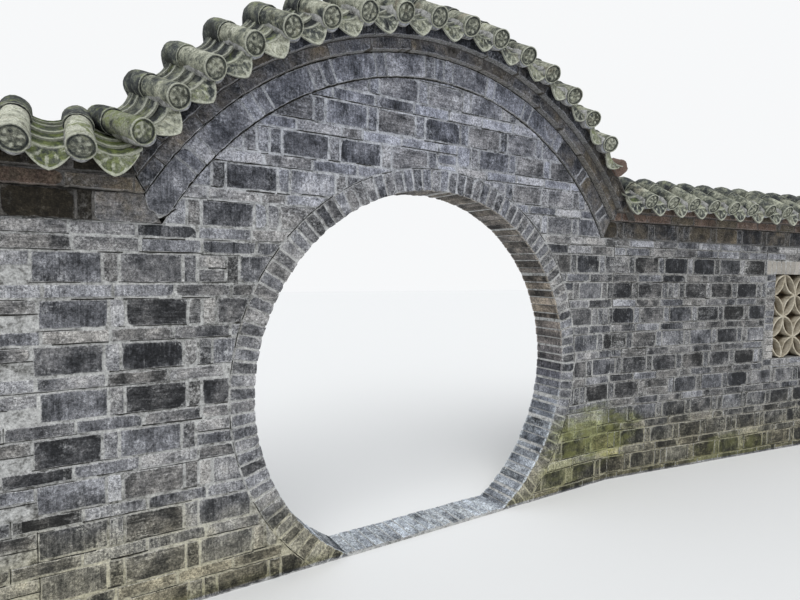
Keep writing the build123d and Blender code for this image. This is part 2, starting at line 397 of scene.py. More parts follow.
class Value:
    def __init__(self, shader, socket):
        self.shader, self.socket = shader, socket

    def maths(self, operation, *others):
        inputs = {number: part for number, part in enumerate((self,) + others)}
        return self.shader.node("Math", {"operation": operation}, inputs)

    def __rsub__(self, other):
        return (self * -1) + other


for sign, operation in {"add": "ADD", "radd": "ADD", "sub": "SUBTRACT", "mul": "MULTIPLY", "rmul": "MULTIPLY",
                        "truediv": "DIVIDE", "pow": "POWER"}.items():
    setattr(Value, f"__{sign}__", lambda self, other, operation=operation: self.maths(operation, other))


class Shader:
    # one material or world: node() adds any node, and the rest are short names for common ones
    def __init__(self, name, library=bpy.data.materials):
        self.owner = library.new(name)
        self.owner.use_nodes = True
        self.tree = self.owner.node_tree
        self.tree.nodes.clear()

    def node(self, kind, settings=None, inputs=None, output=0):
        made = self.tree.nodes.new("ShaderNode" + kind)
        for key, setting in (settings or {}).items():
            if key == "stops":
                ramp = made.color_ramp
                while len(ramp.elements) < len(setting):
                    ramp.elements.new(0.5)
                for element, (position, colour) in zip(ramp.elements, setting):
                    element.position = position
                    element.color = (*colour, 1)
            else:
                setattr(made, key, setting)
        for key, given in (inputs or {}).items():
            if isinstance(key, int):
                socket = made.inputs[key]
            else:
                socket = next(s for s in made.inputs if key in (s.identifier, s.name))
            if isinstance(given, Value):
                self.tree.links.new(given.socket, socket)
            elif socket.type == "RGBA" and len(given) == 3:
                socket.default_value = (*given, 1)
            else:
                socket.default_value = given
        if isinstance(output, str):
            return Value(self, next(s for s in made.outputs if output in (s.identifier, s.name)))
        return Value(self, made.outputs[output]) if made.outputs else None

    def place(self, stretch=(1, 1, 1)):
        spot = self.node("TexCoord", output="Object")
        if stretch == (1, 1, 1):
            return spot
        return self.node("VectorMath", {"operation": "MULTIPLY"}, {0: spot, 1: stretch})

    def noise(self, scale, detail=5, roughness=0.6, stretch=(1, 1, 1), warp=0.0, own=None):
        values = {"Vector": self.place(stretch), "Scale": scale, "Detail": detail, "Roughness": roughness,
                  "Distortion": warp}
        if own is None:  # own: another pattern on every brick
            return self.node("TexNoise", {}, values, "Fac")
        return self.node("TexNoise", {"noise_dimensions": "4D"}, {**values, "W": own}, "Fac")

    def step(self, value, low, high):
        values = {"Value": value, "From Min": low, "From Max": high}
        return self.node("MapRange", {"interpolation_type": "SMOOTHSTEP"}, values)

    def ramp(self, value, stops):
        return self.node("ValToRGB", {"stops": stops}, {"Fac": value})

    def mix(self, factor, first, second, blend="MIX"):
        values = {"Factor_Float": factor, "A_Color": first, "B_Color": second}
        return self.node("Mix", {"data_type": "RGBA", "blend_type": blend}, values, "Result_Color")

    def tinted(self, colour, tint):
        return self.mix(1.0, colour, tint, "MULTIPLY")

    def mottled(self, colour, value, low, high, dark, light):
        # darker and lighter with a noise value
        return self.tinted(colour, self.ramp(value, [(low, (dark,) * 3), (high, (light,) * 3)]))

    def parts(self, colour):
        return [self.node("SeparateColor", {}, {"Color": colour}, k) for k in range(3)]

    def look(self):
        attribute = self.node("Attribute", {"attribute_name": "look"}, {}, "Color")
        alpha = Value(self, attribute.socket.node.outputs["Alpha"])
        return self.parts(attribute) + [alpha]

    def axis(self, number, vector=None):
        # x, y or z of a vector, or of the place in the wall
        return self.node("SeparateXYZ", {}, {0: vector or self.place()}, number)

    def normal(self, number):
        return self.axis(number, self.node("NewGeometry", output="Normal"))

    def finish(self, colour, roughness, height, bumpStrength=0.5, bumpDistance=0.003, specular=0.3):
        bump = self.node("Bump", {}, {"Strength": bumpStrength, "Distance": bumpDistance, "Height": height})
        values = {"Base Color": colour, "Roughness": roughness, "Normal": bump, "Specular IOR Level": specular}
        surface = self.node("BsdfPrincipled", {}, values)
        self.node("OutputMaterial", {}, {"Surface": surface})
        return self.owner


# Weather on the whole wall: moss and mud near the ground, damp marks, dark runs under the cornice, and a painted
# bluish skylight tint high up

weatherColours = {
    "mud": (1.05, 0.985, 0.74),  # mud, damp and the painted skylight tint what lies under them
    "damp": (0.55, 0.56, 0.44),
    "skylight": (0.97, 1.0, 1.11),
    "mossTint": (0.80, 0.86, 0.46),
    "moss": (0.19, 0.195, 0.07),
    "soot": (0.035, 0.032, 0.028),
    "bloom": (0.47, 0.47, 0.465),
}
mossPatches = [  # middle x, z, half widths, strength
    (1.45, 0.37, 0.55, 0.25, 0.95),
    (1.12, 0.16, 0.30, 0.14, 0.5),
    (3.0, 0.05, 0.6, 0.2, 0.5),
]


def weather(shader, colour, strength=1.0):
    # only what faces the front or the back is touched, so the inside of the opening stays clean
    x, z = shader.axis(0), shader.axis(2)
    facing = shader.step(shader.normal(1).maths("ABSOLUTE"), 0.4, 0.8) * shader.step(z, 0.014, 0.026) * strength
    broad = shader.noise(2.3, 6, 0.62)
    patchy = shader.noise(7.0, 5, 0.7)
    runs = shader.noise(5.0, 4, 0.6, stretch=(1.6, 1.6, 0.16))
    streaks = shader.noise(8.0, 6, 0.72, stretch=(0.55, 0.55, 2.0))
    paint = weatherColours
    low = shader.step(z + (broad - 0.5) * 0.5 + (patchy - 0.5) * 0.25, 0.60, 0.15)
    colour = shader.mix(low * facing, colour, shader.tinted(colour, paint["mud"]))
    foot = shader.step(z + (patchy - 0.5) * 0.12, 0.10, 0.0)
    colour = shader.mix(foot * facing, colour, shader.tinted(colour, paint["damp"]))
    moss = None
    for middleX, middleZ, halfX, halfZ, amount in mossPatches:
        reach = ((x - middleX) / halfX) ** 2 + ((z - middleZ) / halfZ) ** 2
        patch = shader.step(reach + (streaks - 0.5) * 2.6, 1.1, 0.1) * amount
        moss = moss.maths("MAXIMUM", patch) if moss else patch
    tinted = shader.tinted(colour, paint["mossTint"])
    mossy = shader.mix(shader.step(patchy, 0.42, 0.62) * 0.75, tinted, paint["moss"])
    colour = shader.mix(moss * facing, colour, mossy)
    # high up the wall is tinted bluish: painted skylight
    high = shader.step(z, 1.6, 2.3)
    colour = shader.mix(high * facing, colour, shader.tinted(colour, paint["skylight"]))
    streak = shader.step(runs, 0.58, 0.74) * shader.step(z, 0.9, 1.75) * shader.step(z, 2.2, 1.9)
    return shader.mix(streak * facing * 0.4, colour, paint["soot"])


def brickMaterial(name, lining=False):
    shader = Shader(name)
    tone, edge, hue, stain = shader.look()
    own = tone * 91 + hue * 37
    body = shader.noise(7.5, 6, 0.66, own=own)
    cloud = shader.noise(26, 6, 0.74, warp=0.5, own=own)
    grain = shader.noise(85, 5, 0.85)
    fine = shader.noise(210, 3, 0.85)
    upright = shader.noise(1.0, 5, 0.75, stretch=(120, 120, 10), own=own)
    level = shader.noise(1.0, 5, 0.75, stretch=(10, 10, 120), own=own)
    scratch = shader.parts(shader.mix(shader.step(hue, 0.35, 0.55), upright, level))[0]
    shade = tone + (body - 0.5) * 2.2 + (cloud - 0.5) * 1.15 + (scratch - 0.5) * 1.0
    grey = shader.ramp(shade, [
        (0.0, (0.016, 0.0165, 0.0175)), (0.22, (0.045, 0.046, 0.048)), (0.45, (0.112, 0.112, 0.114)),
        (0.7, (0.205, 0.204, 0.205)), (1.0, (0.39, 0.387, 0.385))])
    warm = shader.tinted(grey, (1.025, 0.993, 0.945))
    cool = shader.tinted(grey, (0.965, 0.985, 1.055))
    colour = shader.mix(shader.step(hue + (body - 0.5) * 0.8, 0.2, 0.8), cool, warm)
    earth = shader.ramp(hue + (cloud - 0.5) * 0.7, [
        (0.0, (0.014, 0.0115, 0.0075)), (0.3, (0.042, 0.034, 0.022)), (0.55, (0.104, 0.086, 0.060)),
        (0.8, (0.110, 0.074, 0.056)), (1.0, (0.22, 0.170, 0.130))])
    earth = shader.mottled(earth, body, 0.3, 0.7, 0.35, 1.75)
    colour = shader.mix(shader.step(stain + (body - 0.5) * 1.6, 0.2, 0.8), colour, earth)
    clean = 1 - stain * 0.8
    bloom = weatherColours["bloom"]
    lip = shader.step(edge ** 3 + (cloud - 0.5) * 0.5 + (grain - 0.5) * 0.5, 0.42, 0.75)
    colour = shader.mix(lip * clean * 0.55, colour, bloom)
    smear = shader.step(scratch + (grain - 0.5) * 0.8, 0.42, 0.66)
    smear = shader.step(shader.noise(3.4, 7, 0.76), 0.53, 0.66) * smear
    colour = shader.mix(smear * clean * 0.5, colour, bloom)
    hair = shader.step(scratch, 0.60, 0.72) * shader.step(cloud, 0.42, 0.58)
    colour = shader.mix(hair * clean * 0.5, colour, bloom)
    fleck = shader.step(grain, 0.60, 0.70) * shader.step(cloud, 0.47, 0.60)
    colour = shader.mix(fleck * clean * 0.6, colour, (0.5, 0.5, 0.49))
    pit = shader.step(grain, 0.40, 0.30)
    colour = shader.mix(pit * 0.6, colour, (0.018, 0.018, 0.018))
    colour = shader.mottled(colour, grain, 0.40, 0.60, 0.50, 1.60)
    colour = shader.mottled(colour, fine, 0.38, 0.62, 0.62, 1.40)
    if lining:  # inside the opening: pale slate low down, brown high up
        inside = shader.step(shader.normal(1).maths("ABSOLUTE"), 0.7, 0.35)
        wash = shader.ramp(shader.axis(2) * 0.5, [
            (0.0, (1.38, 1.48, 1.54)), (0.24, (1.30, 1.40, 1.46)), (0.42, (0.64, 0.64, 0.70)),
            (0.62, (0.96, 0.83, 0.68)), (0.9, (0.94, 0.86, 0.76))])
        colour = shader.mix(inside, colour, shader.tinted(colour, wash))
    colour = weather(shader, colour)
    height = grain * 0.7 + cloud * 0.8 + body * 0.5 + scratch * 0.9 + fine * 0.3
    return shader.finish(colour, 0.84 + body * 0.14, height, 0.7, 0.004)


def mortarMaterial():
    shader = Shader("limeMortar")
    stain = shader.look()[3]
    broad = shader.noise(4, 6, 0.65)
    grain = shader.noise(150, 4, 0.8)
    lumps = shader.noise(38, 5, 0.72)
    colour = shader.ramp(broad * 0.35 + lumps * 0.65, [
        (0.37, (0.08, 0.079, 0.075)), (0.44, (0.25, 0.25, 0.24)), (0.52, (0.45, 0.45, 0.44)),
        (0.66, (0.60, 0.60, 0.58))])
    # the stain darkens the mortar: real dirt on the walls, painted shade under the cornices and the tiles
    dirtAndShade = shader.ramp(lumps, [(0.3, (0.014, 0.011, 0.008)), (0.7, (0.075, 0.058, 0.040))])
    colour = shader.mix(stain, colour, dirtAndShade)
    colour = shader.mottled(colour, grain, 0.32, 0.68, 0.58, 1.35)
    colour = weather(shader, colour, 0.95)
    return shader.finish(colour, 0.95, grain * 0.5 + lumps, 0.7, 0.004, 0.2)


# Nearly black strips in the joints: washed-out mortar and painted shadow under the courses
def jointShadowMaterial():
    shader = Shader("paintedJointShadow")
    grain = shader.noise(60, 4, 0.7)
    colour = shader.ramp(grain, [(0.35, (0.010, 0.010, 0.009)), (0.65, (0.05, 0.047, 0.042))])
    return shader.finish(colour, 0.97, grain, 0.6, 0.003, 0.1)


def tileMaterial():
    # look: tone from dark slate to pale lichen, raised edges and relief painted paler as a highlight with some wear,
    # moss, clay that shows where a tile has broken
    shader = Shader("weatheredRoofTile")
    tone, edge, moss, clay = shader.look()
    own = tone * 57 + moss * 31
    blotch = shader.noise(10, 6, 0.70, own=own)
    patch = shader.noise(27, 6, 0.72, warp=0.8)
    grain = shader.noise(110, 4, 0.85)
    # top: how far a face turns up; upward faces are painted lighter, as light from above, and moss gathers on them
    top = shader.normal(2)
    shade = tone + (blotch - 0.5) * 2.4 + (patch - 0.5) * 1.1 + (grain - 0.5) * 0.3 + top * 0.12
    base = shader.ramp(shade, [
        (0.0, (0.012, 0.014, 0.015)), (0.28, (0.050, 0.056, 0.056)), (0.5, (0.150, 0.158, 0.125)),
        (0.75, (0.33, 0.335, 0.265)), (1.0, (0.56, 0.565, 0.47))])
    lichen = shader.step(patch, 0.50, 0.62) * shader.step(tone, 0.2, 0.6)
    base = shader.mix(lichen * 0.5, base, (0.36, 0.365, 0.275))
    earthy = shader.step(shader.noise(6.5, 5, 0.7), 0.55, 0.68) * shader.step(tone, 0.25, 0.6)
    base = shader.mix(earthy * 0.5, base, (0.19, 0.145, 0.10))
    dark = shader.step(shader.noise(8, 6, 0.78), 0.52, 0.63)
    base = shader.mix(dark * 0.7, base, (0.026, 0.028, 0.018))
    green = shader.step(moss + (patch - 0.5) * 1.6 + (blotch - 0.5) * 1.2 + top * 0.16, 0.58, 0.98)
    mossColour = shader.mix(shader.step(patch, 0.4, 0.62), (0.024, 0.038, 0.007), (0.115, 0.145, 0.028))
    base = shader.mix(green * 0.8, base, mossColour)
    # raised relief and edges are painted paler: painted highlight, with wear on the edges
    rim = shader.step(edge + (patch - 0.5) * 0.7 + (grain - 0.5) * 0.4, 0.52, 0.92)
    base = shader.mix(rim * 0.7, base, (0.46, 0.47, 0.39))
    base = shader.mix(shader.step(clay + (blotch - 0.5) * 1.2, 0.4, 0.7), base, (0.15, 0.105, 0.085))
    base = shader.mottled(base, grain, 0.34, 0.66, 0.60, 1.4)
    return shader.finish(base, 0.80 + blotch * 0.16, grain * 0.5 + patch * 0.9 + blotch * 0.6, 0.7, 0.004)


def latticeMaterial():
    shader = Shader("paleLatticeTile")
    edge = shader.look()[1]
    blotch = shader.noise(18, 5, 0.65)
    grain = shader.noise(150, 3, 0.7)
    cream = shader.ramp(blotch, [(0.3, (0.26, 0.225, 0.165)), (0.5, (0.43, 0.385, 0.30)), (0.7, (0.56, 0.52, 0.43))])
    # the tiles' sides deep inside the lattice get the dark colour as painted shade; their faces stay cream
    inner = shader.ramp(blotch, [(0.3, (0.05, 0.036, 0.020)), (0.6, (0.17, 0.125, 0.075)), (0.8, (0.26, 0.20, 0.12))])
    colour = shader.mix(shader.step(edge, 0.35, 0.75), inner, cream)
    colour = shader.mottled(colour, grain, 0.32, 0.68, 0.68, 1.28)
    return shader.finish(colour, 0.9, grain * 0.4 + blotch, 0.45, 0.003)


def lintelMaterial():
    shader = Shader("paleLintelBrick")
    tone, edge = shader.look()[:2]
    blotch = shader.noise(13, 6, 0.68)
    grain = shader.noise(140, 3, 0.7)
    colour = shader.ramp(tone + (blotch - 0.5) * 0.5, [
        (0.1, (0.15, 0.136, 0.117)), (0.5, (0.285, 0.262, 0.228)), (0.9, (0.41, 0.38, 0.335))])
    colour = shader.mix(shader.step(edge, 0.6, 1.0) * 0.35, colour, (0.46, 0.45, 0.43))
    colour = shader.mottled(colour, grain, 0.32, 0.68, 0.70, 1.26)
    return shader.finish(colour, 0.9, grain * 0.4 + blotch, 0.5, 0.003)


brickLook = brickMaterial("greyGardenBrick")
ringLook = brickMaterial("ringBrick", lining=True)
mortarLook = mortarMaterial()
jointShadowLook = jointShadowMaterial()
tileLook = tileMaterial()
latticeLook = latticeMaterial()
lintelLook = lintelMaterial()
brickwork = [brickLook, mortarLook, jointShadowLook]
tilework = [tileLook, mortarLook]
print("materials ready")


# The bond: courses of brick on edge and flat courses by turns, measured down and up from the frieze

bond = {
    "down": [("flat", 0.060), ("flat", 0.066), ("edge", 0.133)],
    "repeat": [("flat", 0.063), ("edge", 0.126)],
    "leftUp": [("edge", 0.123), ("flat", 0.058), ("edge", 0.122), ("flat", 0.064), ("edge", 0.127), ("flat", 0.060)],
    "rightUp": [("edge", 0.123), ("flat", 0.058), ("edge", 0.122), ("flat", 0.058), ("edge", 0.123)],
    "crown": [("edge", 0.128), ("flat", 0.065), ("edge", 0.126), ("flat", 0.063)],
    "meet": 0.12,  # where the courses of the two sides meet over the ring
    "doubleHeader": 0.14,
    "splitStretcher": 0.07,
    "shortStretcher": 0.10,
    "lap": 0.42,  # how far every other course is moved along, in lengths
    "gap": 0.0056,  # half of the joint that shows
    "recess": 0.0040,  # mortar behind the brick faces
    "depth": 0.034,  # of the bricks' shells
    "spread": 0.006,  # of brick lengths
    "stagger": 0.12,  # random part of the lap, in lengths
    "shortest": 0.036,  # no gap or brick is shorter
    # chance of a dark strip under each kind of brick: washed-out mortar and painted shadow under the course
    "shadowCrack": {"flat": 0.9, "edge": 0.6, "header": 0.6},
}


def coursesAround(level, up):
    # bottom, top and kind of every course under and over a cornice
    courses = []
    v = level
    for kind, height in chain(bond["down"], cycle(bond["repeat"])):
        if v <= 0.001:
            break
        courses.append((max(v - height, 0.0), v, kind))
        v -= height
    v = level
    for kind, height in up:
        courses.append((v, v + height, kind))
        v += height
    return courses


def wallRows(runStart, runEnd):
    # every course as bottom, top, kind, start, end and whether it lies under the arch
    rows = []

    def reach(v):
        return sqrt(max(archRadius ** 2 - (v - centreHeight) ** 2, 0))

    for side in ("left", "right"):
        level = corniceOf[side]
        for v0, v1, kind in coursesAround(level, bond[side + "Up"]):
            above = v0 > level - 0.001
            start, end = (-reach(v0), reach(v0)) if above else (runStart, runEnd)
            start, end = (start, bond["meet"]) if side == "left" else (bond["meet"], end)
            rows.append((v0, v1, kind, start, end, above))
    v = rows[-1][1]
    for kind, height in bond["crown"]:
        if reach(v) > 0.1:
            rows.append((v, v + height, kind, -reach(v), reach(v), True))
        v += height
    return rows


def layRow(v0, v1, kind, uStart, uEnd, draw, number, stackedBefore=None):
    # cells of one course as (u0, u1, v0, v1, kind), joints included
    cells = []
    stretcher, headerWidth = longBrick + joint, thinBrick + joint
    pitch = stretcher + (headerWidth if kind == "edge" else 0)
    u = uStart - pitch * (number % 2 * bond["lap"] + draw.uniform(0.0, bond["stagger"]))
    middle = (v0 + v1) / 2
    header = False
    while u < uEnd - 0.02:
        if kind == "edge" and stackedBefore is not None and u < stackedBefore:
            length, start = stretcher, u - stretcher / 2
            cells += [(u, u + length, middle, v1, "flat"), (start, start + length, v0, middle, "flat")]
        elif kind == "edge" and header:
            length = headerWidth
            cells.append((u, u + length, v0, v1, "header"))
            header = draw.random() < bond["doubleHeader"]
        elif kind == "edge":
            header = True
            length = stretcher + draw.uniform(-bond["spread"], bond["spread"])
            if draw.random() < bond["splitStretcher"]:
                length *= draw.choice((0.5, 1.0))
                cells += [(u, u + length, middle, v1, "flat"), (u, u + length, v0, middle, "flat")]
            else:
                cells.append((u, u + length, v0, v1, "edge"))
        else:
            length = stretcher + draw.uniform(-bond["spread"], bond["spread"])
            if draw.random() < bond["shortStretcher"]:
                length *= 0.5
            cells.append((u, u + length, v0, v1, "flat"))
        u += length
    trimmed = []
    for u0, u1, low, high, sort in cells:
        u0, u1 = max(u0, uStart), min(u1, uEnd)
        if u1 - u0 > bond["shortest"] - 0.001:
            u0 = uStart if u0 - uStart < bond["shortest"] else u0  # no thin gap at either end of the row
            u1 = uEnd if uEnd - u1 < bond["shortest"] else u1
            trimmed.append((u0, u1, low, high, sort))
    return trimmed


def cutByBox(cell, box):
    # keeps the largest part of a cell that lies clear of a box
    u0, u1, v0, v1, kind = cell
    b0, b1, c0, c1 = box
    if u1 <= b0 + 0.001 or u0 >= b1 - 0.001 or v1 <= c0 + 0.001 or v0 >= c1 - 0.001:
        return cell
    choices = [(u0, min(u1, b0), v0, v1), (max(u0, b1), u1, v0, v1),
               (u0, u1, v0, min(v1, c0)), (u0, u1, max(v0, c1), v1)]
    best = max(choices, key=lambda c: max(c[1] - c[0], 0) * max(c[3] - c[2], 0))
    if best[1] - best[0] < 0.03 or best[3] - best[2] < 0.022:
        return None
    return (*best, kind)


toneOf = {  # mean and spread of tone, and the chance of a dark one
    "edge": (0.47, 0.14, 0.14),
    "flat": (0.58, 0.13, 0.06),
    "header": (0.49, 0.15, 0.12),
}
toneLift = {  # how much paler or darker bricks are by their place
    "pierFoot": -0.28, "crown": 0.05, "crownFlat": 0.20,
    "wing": -0.18, "wingFoot": -0.27, "flatOnWing": 0.08,
    "rightBay": -0.07, "flatOnBay": 0.05,
}


def brickTone(kind, draw, lift=0.0):
    mean, spread, darkChance = toneOf[kind]
    tone = draw.gauss(mean, spread)
    if draw.random() < darkChance:
        tone = draw.uniform(0.10, 0.24)
    hue = clamp(draw.gauss(0.45, 0.22))
    return (clamp(tone + lift, 0.08, 0.95), hue, 0.0)


def placeLift(u, v, kind):
    # the crown is the palest, the right wing and the lowest courses of the right pier the darkest
    flat = kind == "flat"
    if 1.0 < u < 1.9 and v < 0.15:
        return toneLift["pierFoot"]
    if v > corniceOf["left"]:
        return toneLift["crownFlat" if flat else "crown"]
    if u > bayHalf:
        return toneLift["wingFoot" if v < 0.5 else "wing"] + (toneLift["flatOnWing"] if flat else 0)
    return (toneLift["rightBay"] if u > 0 else 0.0) + (toneLift["flatOnBay"] if flat else 0)


def cellOutline(cell, tight=(False, False)):
    half = bond["gap"]
    start = cell[0] if tight[0] else cell[0] + half
    end = cell[1] if tight[1] else cell[1] - half
    return rectangle(start, end, cell[2] + half, cell[3] - half)


jointShadowCracks = {
    "beyond": 0.003,  # how far a dark strip can run past the brick
    "cut": (-0.5, 0.45),  # part of it that is missing at an end, none below zero
    "rise": (-0.0036, 0.0036, 0.0036), "riseSpread": 0.001,  # from the middle of the joint
    "widths": (0.0026, 0.0034, 0.0044, 0.0060),
    "uprightChance": 0.16, "uprightWidth": 0.003,
}


def shadowedJoints(pile, stand, cell, face, draw, blocked=None):
    # dark strips along the bottom and now and then up one side of a brick: painted shadow under the course, and
    # washed-out mortar
    u0, u1, v0, v1, kind = cell
    if draw.random() < bond["shadowCrack"][kind] and v0 > 0.02:
        length = u1 - u0
        start = u0 - jointShadowCracks["beyond"] + length * max(draw.uniform(*jointShadowCracks["cut"]), 0)
        end = u1 + jointShadowCracks["beyond"] - length * max(draw.uniform(*jointShadowCracks["cut"]), 0)
        if blocked:
            start, end = blocked(start, end, v0)
        if end - start > shadowCrackShape["shortest"]:
            rise = draw.choice(jointShadowCracks["rise"])
            rise += draw.uniform(-jointShadowCracks["riseSpread"], jointShadowCracks["riseSpread"])
            width = draw.choice(jointShadowCracks["widths"])
            shadowCrack(pile, stand, (start, v0 + rise), (end, v0 + rise), face, draw, width)
    if draw.random() < jointShadowCracks["uprightChance"] and not blocked:
        shadowCrack(pile, stand, (u0, v0), (u0, v1), face, draw, jointShadowCracks["uprightWidth"])


# The wall is one stretch of bonded brick from end to end; the right wing turns at its bend

window = {
    "start": 1.870, "width": 0.900, "height": 0.745,
    "drop": 0.245,  # from the frieze down to the top of the window
    "bearing": 0.125, "lintel": 0.125, "sill": 0.063, "jambRows": 12,
    "columns": 3, "rows": 2, "tile": 0.015, "depth": 0.108,
    "mendedRows": 4, "mendedTone": (0.75, 0.95),  # pale new bricks low on the right window's near jamb
    "sillLift": 0.12, "lintelTone": (0.6, 0.12),
}


def windowBox(side):
    # start, end, bottom and top of the field that lintel, jambs and sill fill
    top = corniceOf[side] - window["drop"]
    bearing = window["bearing"]
    return (window["start"] - bearing, window["start"] + window["width"] + bearing,
            top - window["height"] - window["sill"], top + window["lintel"])


def windowHole(side):
    # start, end, bottom and top of the opening, without its bearings
    c0, c1 = windowBox(side)[2:]
    return window["start"], window["start"] + window["width"], c0 + window["sill"], c1 - window["lintel"]


def ringFoot(radius):
    # the angle at which a circle round the opening meets the ground
    return pi - asin(sqrt(1 - (centreHeight / radius) ** 2))


def bayOutline(side):
    # half of the gate bay round the ring and under the arch
    level = corniceOf[side] - centreHeight
    ringEnd, archEnd = ringFoot(ringRadius), atan2(sqrt(archRadius ** 2 - level ** 2), level)
    points = [onCircle(ringRadius, ringEnd * k / 40) for k in range(41)]
    points += [(bayHalf, 0), (bayHalf, corniceOf[side])]
    points += [onCircle(archRadius, archEnd * k / 24) for k in range(24, -1, -1)]
    return mirrored(points, side)


def besideRing(start, end, v):
    # the part of a bed joint that lies clear of the ring and under the arch
    rise = abs(v - centreHeight)
    hole = sqrt(max((ringRadius + 0.006) ** 2 - rise ** 2, 0))
    if hole > 0 and start < hole and end > -hole:
        start, end = (max(start, hole), end) if start + end > 0 else (start, min(end, -hole))
    if v > corniceOf["left" if start + end < 0 else "right"]:
        room = sqrt(max((archRadius - 0.012) ** 2 - rise ** 2, 0))
        start, end = max(start, -room), min(end, room)
    return start, end


wallLay = {
    "endInset": 0.003,  # from the outermost bricks to the wall ends
    "stackedUntil": -2.05,  # up to here the left wing's edge courses are two flat ones
    "nearRing": 1.5, "nearShadowCrack": 1.75,  # how far out bricks and dark joint strips can meet the ring
    "smallestCut": 0.0011,  # area that is left of a brick
}


def wallBricks(piles, face, draw):
    way = 1 if face > 0 else -1
    ease = wallHalf * tan(turn / 2) * (0 if face > 0 else 2)
    bend, shift = bayHalf + ease, bayHalf + 2 * ease  # where the run bends, and from run to wing
    arch = archRadius - joint / 2
    ring = ringRadius + 0.003
    runStart = -bayHalf - wingLength + wallLay["endInset"]
    runEnd = shift + wingLength - wallLay["endInset"]
    leftBox, rightBox = windowBox("left"), windowBox("right")
    boxes = [(-bayHalf - leftBox[1], -bayHalf - leftBox[0], *leftBox[2:]),
             (shift + rightBox[0], shift + rightBox[1], *rightBox[2:])]
    for number, (v0, v1, kind, start, end, above) in enumerate(wallRows(runStart, runEnd)):
        stacked = wallLay["stackedUntil"] if start < -bayHalf else None
        for cell in layRow(v0, v1, kind, start, end, draw, number, stacked):
            for box in boxes:
                cell = cell and cutByBox(cell, box)
            if cell is None:
                continue
            u0, u1, low, high, sort = cell
            middle = (u0 + u1) / 2
            look = brickTone(sort, draw, placeLift(middle, (low + high) / 2, sort))
            atBox = any(abs(u0 - box[1]) < 0.02 or abs(u1 - box[0]) < 0.02 for box in boxes)
            deep = atBox or u0 < runStart + 0.01 or u1 > runEnd - 0.01
            rings = 4 if deep else 1
            back = face - way * (wallHalf - 0.004 if deep else bond["depth"])
            if u0 < bend:
                part = (u0, min(u1, bend), low, high, sort)
                outline = cellOutline(part, (u0 < runStart + 0.01, u1 > bend - 0.002))
                if above:
                    outline = clipCircle(outline, arch, True)
                if abs(middle) < wallLay["nearRing"]:
                    outline = clipCircle(outline, ring, False)
                name = "leftWing" if middle < -bayHalf else ("leftBay" if middle < 0 else "rightBay")
                if len(outline) > 2 and abs(outlineArea(outline)) > wallLay["smallestCut"]:
                    brick(piles[name], bayStand, outline, face, back, look, draw, rings=rings)
                    part = (max(u0, runStart + 0.012), *part[1:])
                    blocked = besideRing if abs(middle) < wallLay["nearShadowCrack"] else None
                    shadowedJoints(piles[name], bayStand, part, face, draw, blocked)
            if u1 > bend:
                part = (max(u0, bend) - shift, u1 - shift, low, high, sort)
                outline = cellOutline(part, (u0 < bend + 0.002, u1 > runEnd - 0.01))
                if part[1] - part[0] > 0.012:
                    brick(piles["rightWing"], wingStand["right"], outline, face, back, look, draw, rings=rings)
                    part = (part[0], min(part[1], wingLength - 0.015), *part[2:])
                    shadowedJoints(piles["rightWing"], wingStand["right"], part, face, draw)


def windowBricks(pile, side, draw):
    # jambs of short bricks, a sill course under the window
    stand = wingStand[side]
    b0, b1, c0 = windowBox(side)[:3]
    start, end, bottom, top = windowHole(side)
    rows = window["jambRows"]
    for u0, u1 in ((b0, start), (end, b1)):
        for k in range(rows):
            v0, v1 = bottom + (top - bottom) * k / rows, bottom + (top - bottom) * (k + 1) / rows
            mended = side == "right" and u0 == b0 and k < window["mendedRows"]
            look = (draw.uniform(*window["mendedTone"]), 0.85, 0.0) if mended else brickTone("flat", draw)
            outline = rectangle(u0 + 0.004, u1 - 0.001, v0 + 0.005, v1 - 0.005)
            throughBrick(pile, stand, outline, look, draw, proud=0.002 if mended else 0)
    for cell in layRow(c0, bottom, "flat", b0, b1, draw, 1):
        throughBrick(pile, stand, cellOutline(cell), brickTone("flat", draw, window["sillLift"]), draw, 2)


wallSkin = wallHalf - bond["recess"]  # the mortar's face
wallStain = {"Wing": {"left": 0.0, "right": 0.38}, "Bay": {"left": 0.0, "right": 0.18}}  # of the mortar


def mortarWing(pile, side):
    c1 = windowBox(side)[3]
    start, end, bottom = windowHole(side)[:3]
    cornice, inset = corniceOf[side], bond["recess"]
    start, end = start - inset, end + inset
    nearEnd = 0 if side == "left" else -wallHalf * tan(turn / 2) * 2
    for field in ((nearEnd, start, 0, cornice), (end, wingLength - 2 * inset, 0, cornice),
                  (start, end, 0, bottom - inset), (start, end, c1, cornice)):
        slab(pile, wingStand[side], rectangle(*field), wallSkin, -wallSkin, stain=wallStain["Wing"][side])


piles = {name: Pile() for name in ("leftWing", "leftBay", "rightBay", "rightWing")}
wallBricks(piles, wallHalf, random.Random(11))
wallBricks(piles, -wallHalf, random.Random(12))
for side in ("left", "right"):
    bay, wing = piles[side + "Bay"], piles[side + "Wing"]
    slab(bay, bayStand, bayOutline(side), wallSkin, -wallSkin, stain=wallStain["Bay"][side])
    makePiece(side, "BayWall", bay, brickwork, "wall_brick", "pier", "shoulder", "crown")
    windowBricks(wing, side, random.Random(15))
    mortarWing(wing, side)
    makePiece(side, "WingWall", wing, brickwork, "wall_brick", "wall_near", "wall_far", "wall_below_window",
              "wall_above_window", "window_sill")


# The ring: bricks on end through the whole wall

ringWork = {
    "pitch": 0.0625, "joint": 0.010, "outerRecess": 0.006, "soffitRecess": 0.004,
    "toneMean": 0.52, "toneSpread": 0.16,
    "darkAbove": 1.7, "darker": 0.08,  # the top of the ring is a little darker
    "openChance": 0.55,  # of a dark strip in the joint round the ring: painted shadow between ring and wall
}


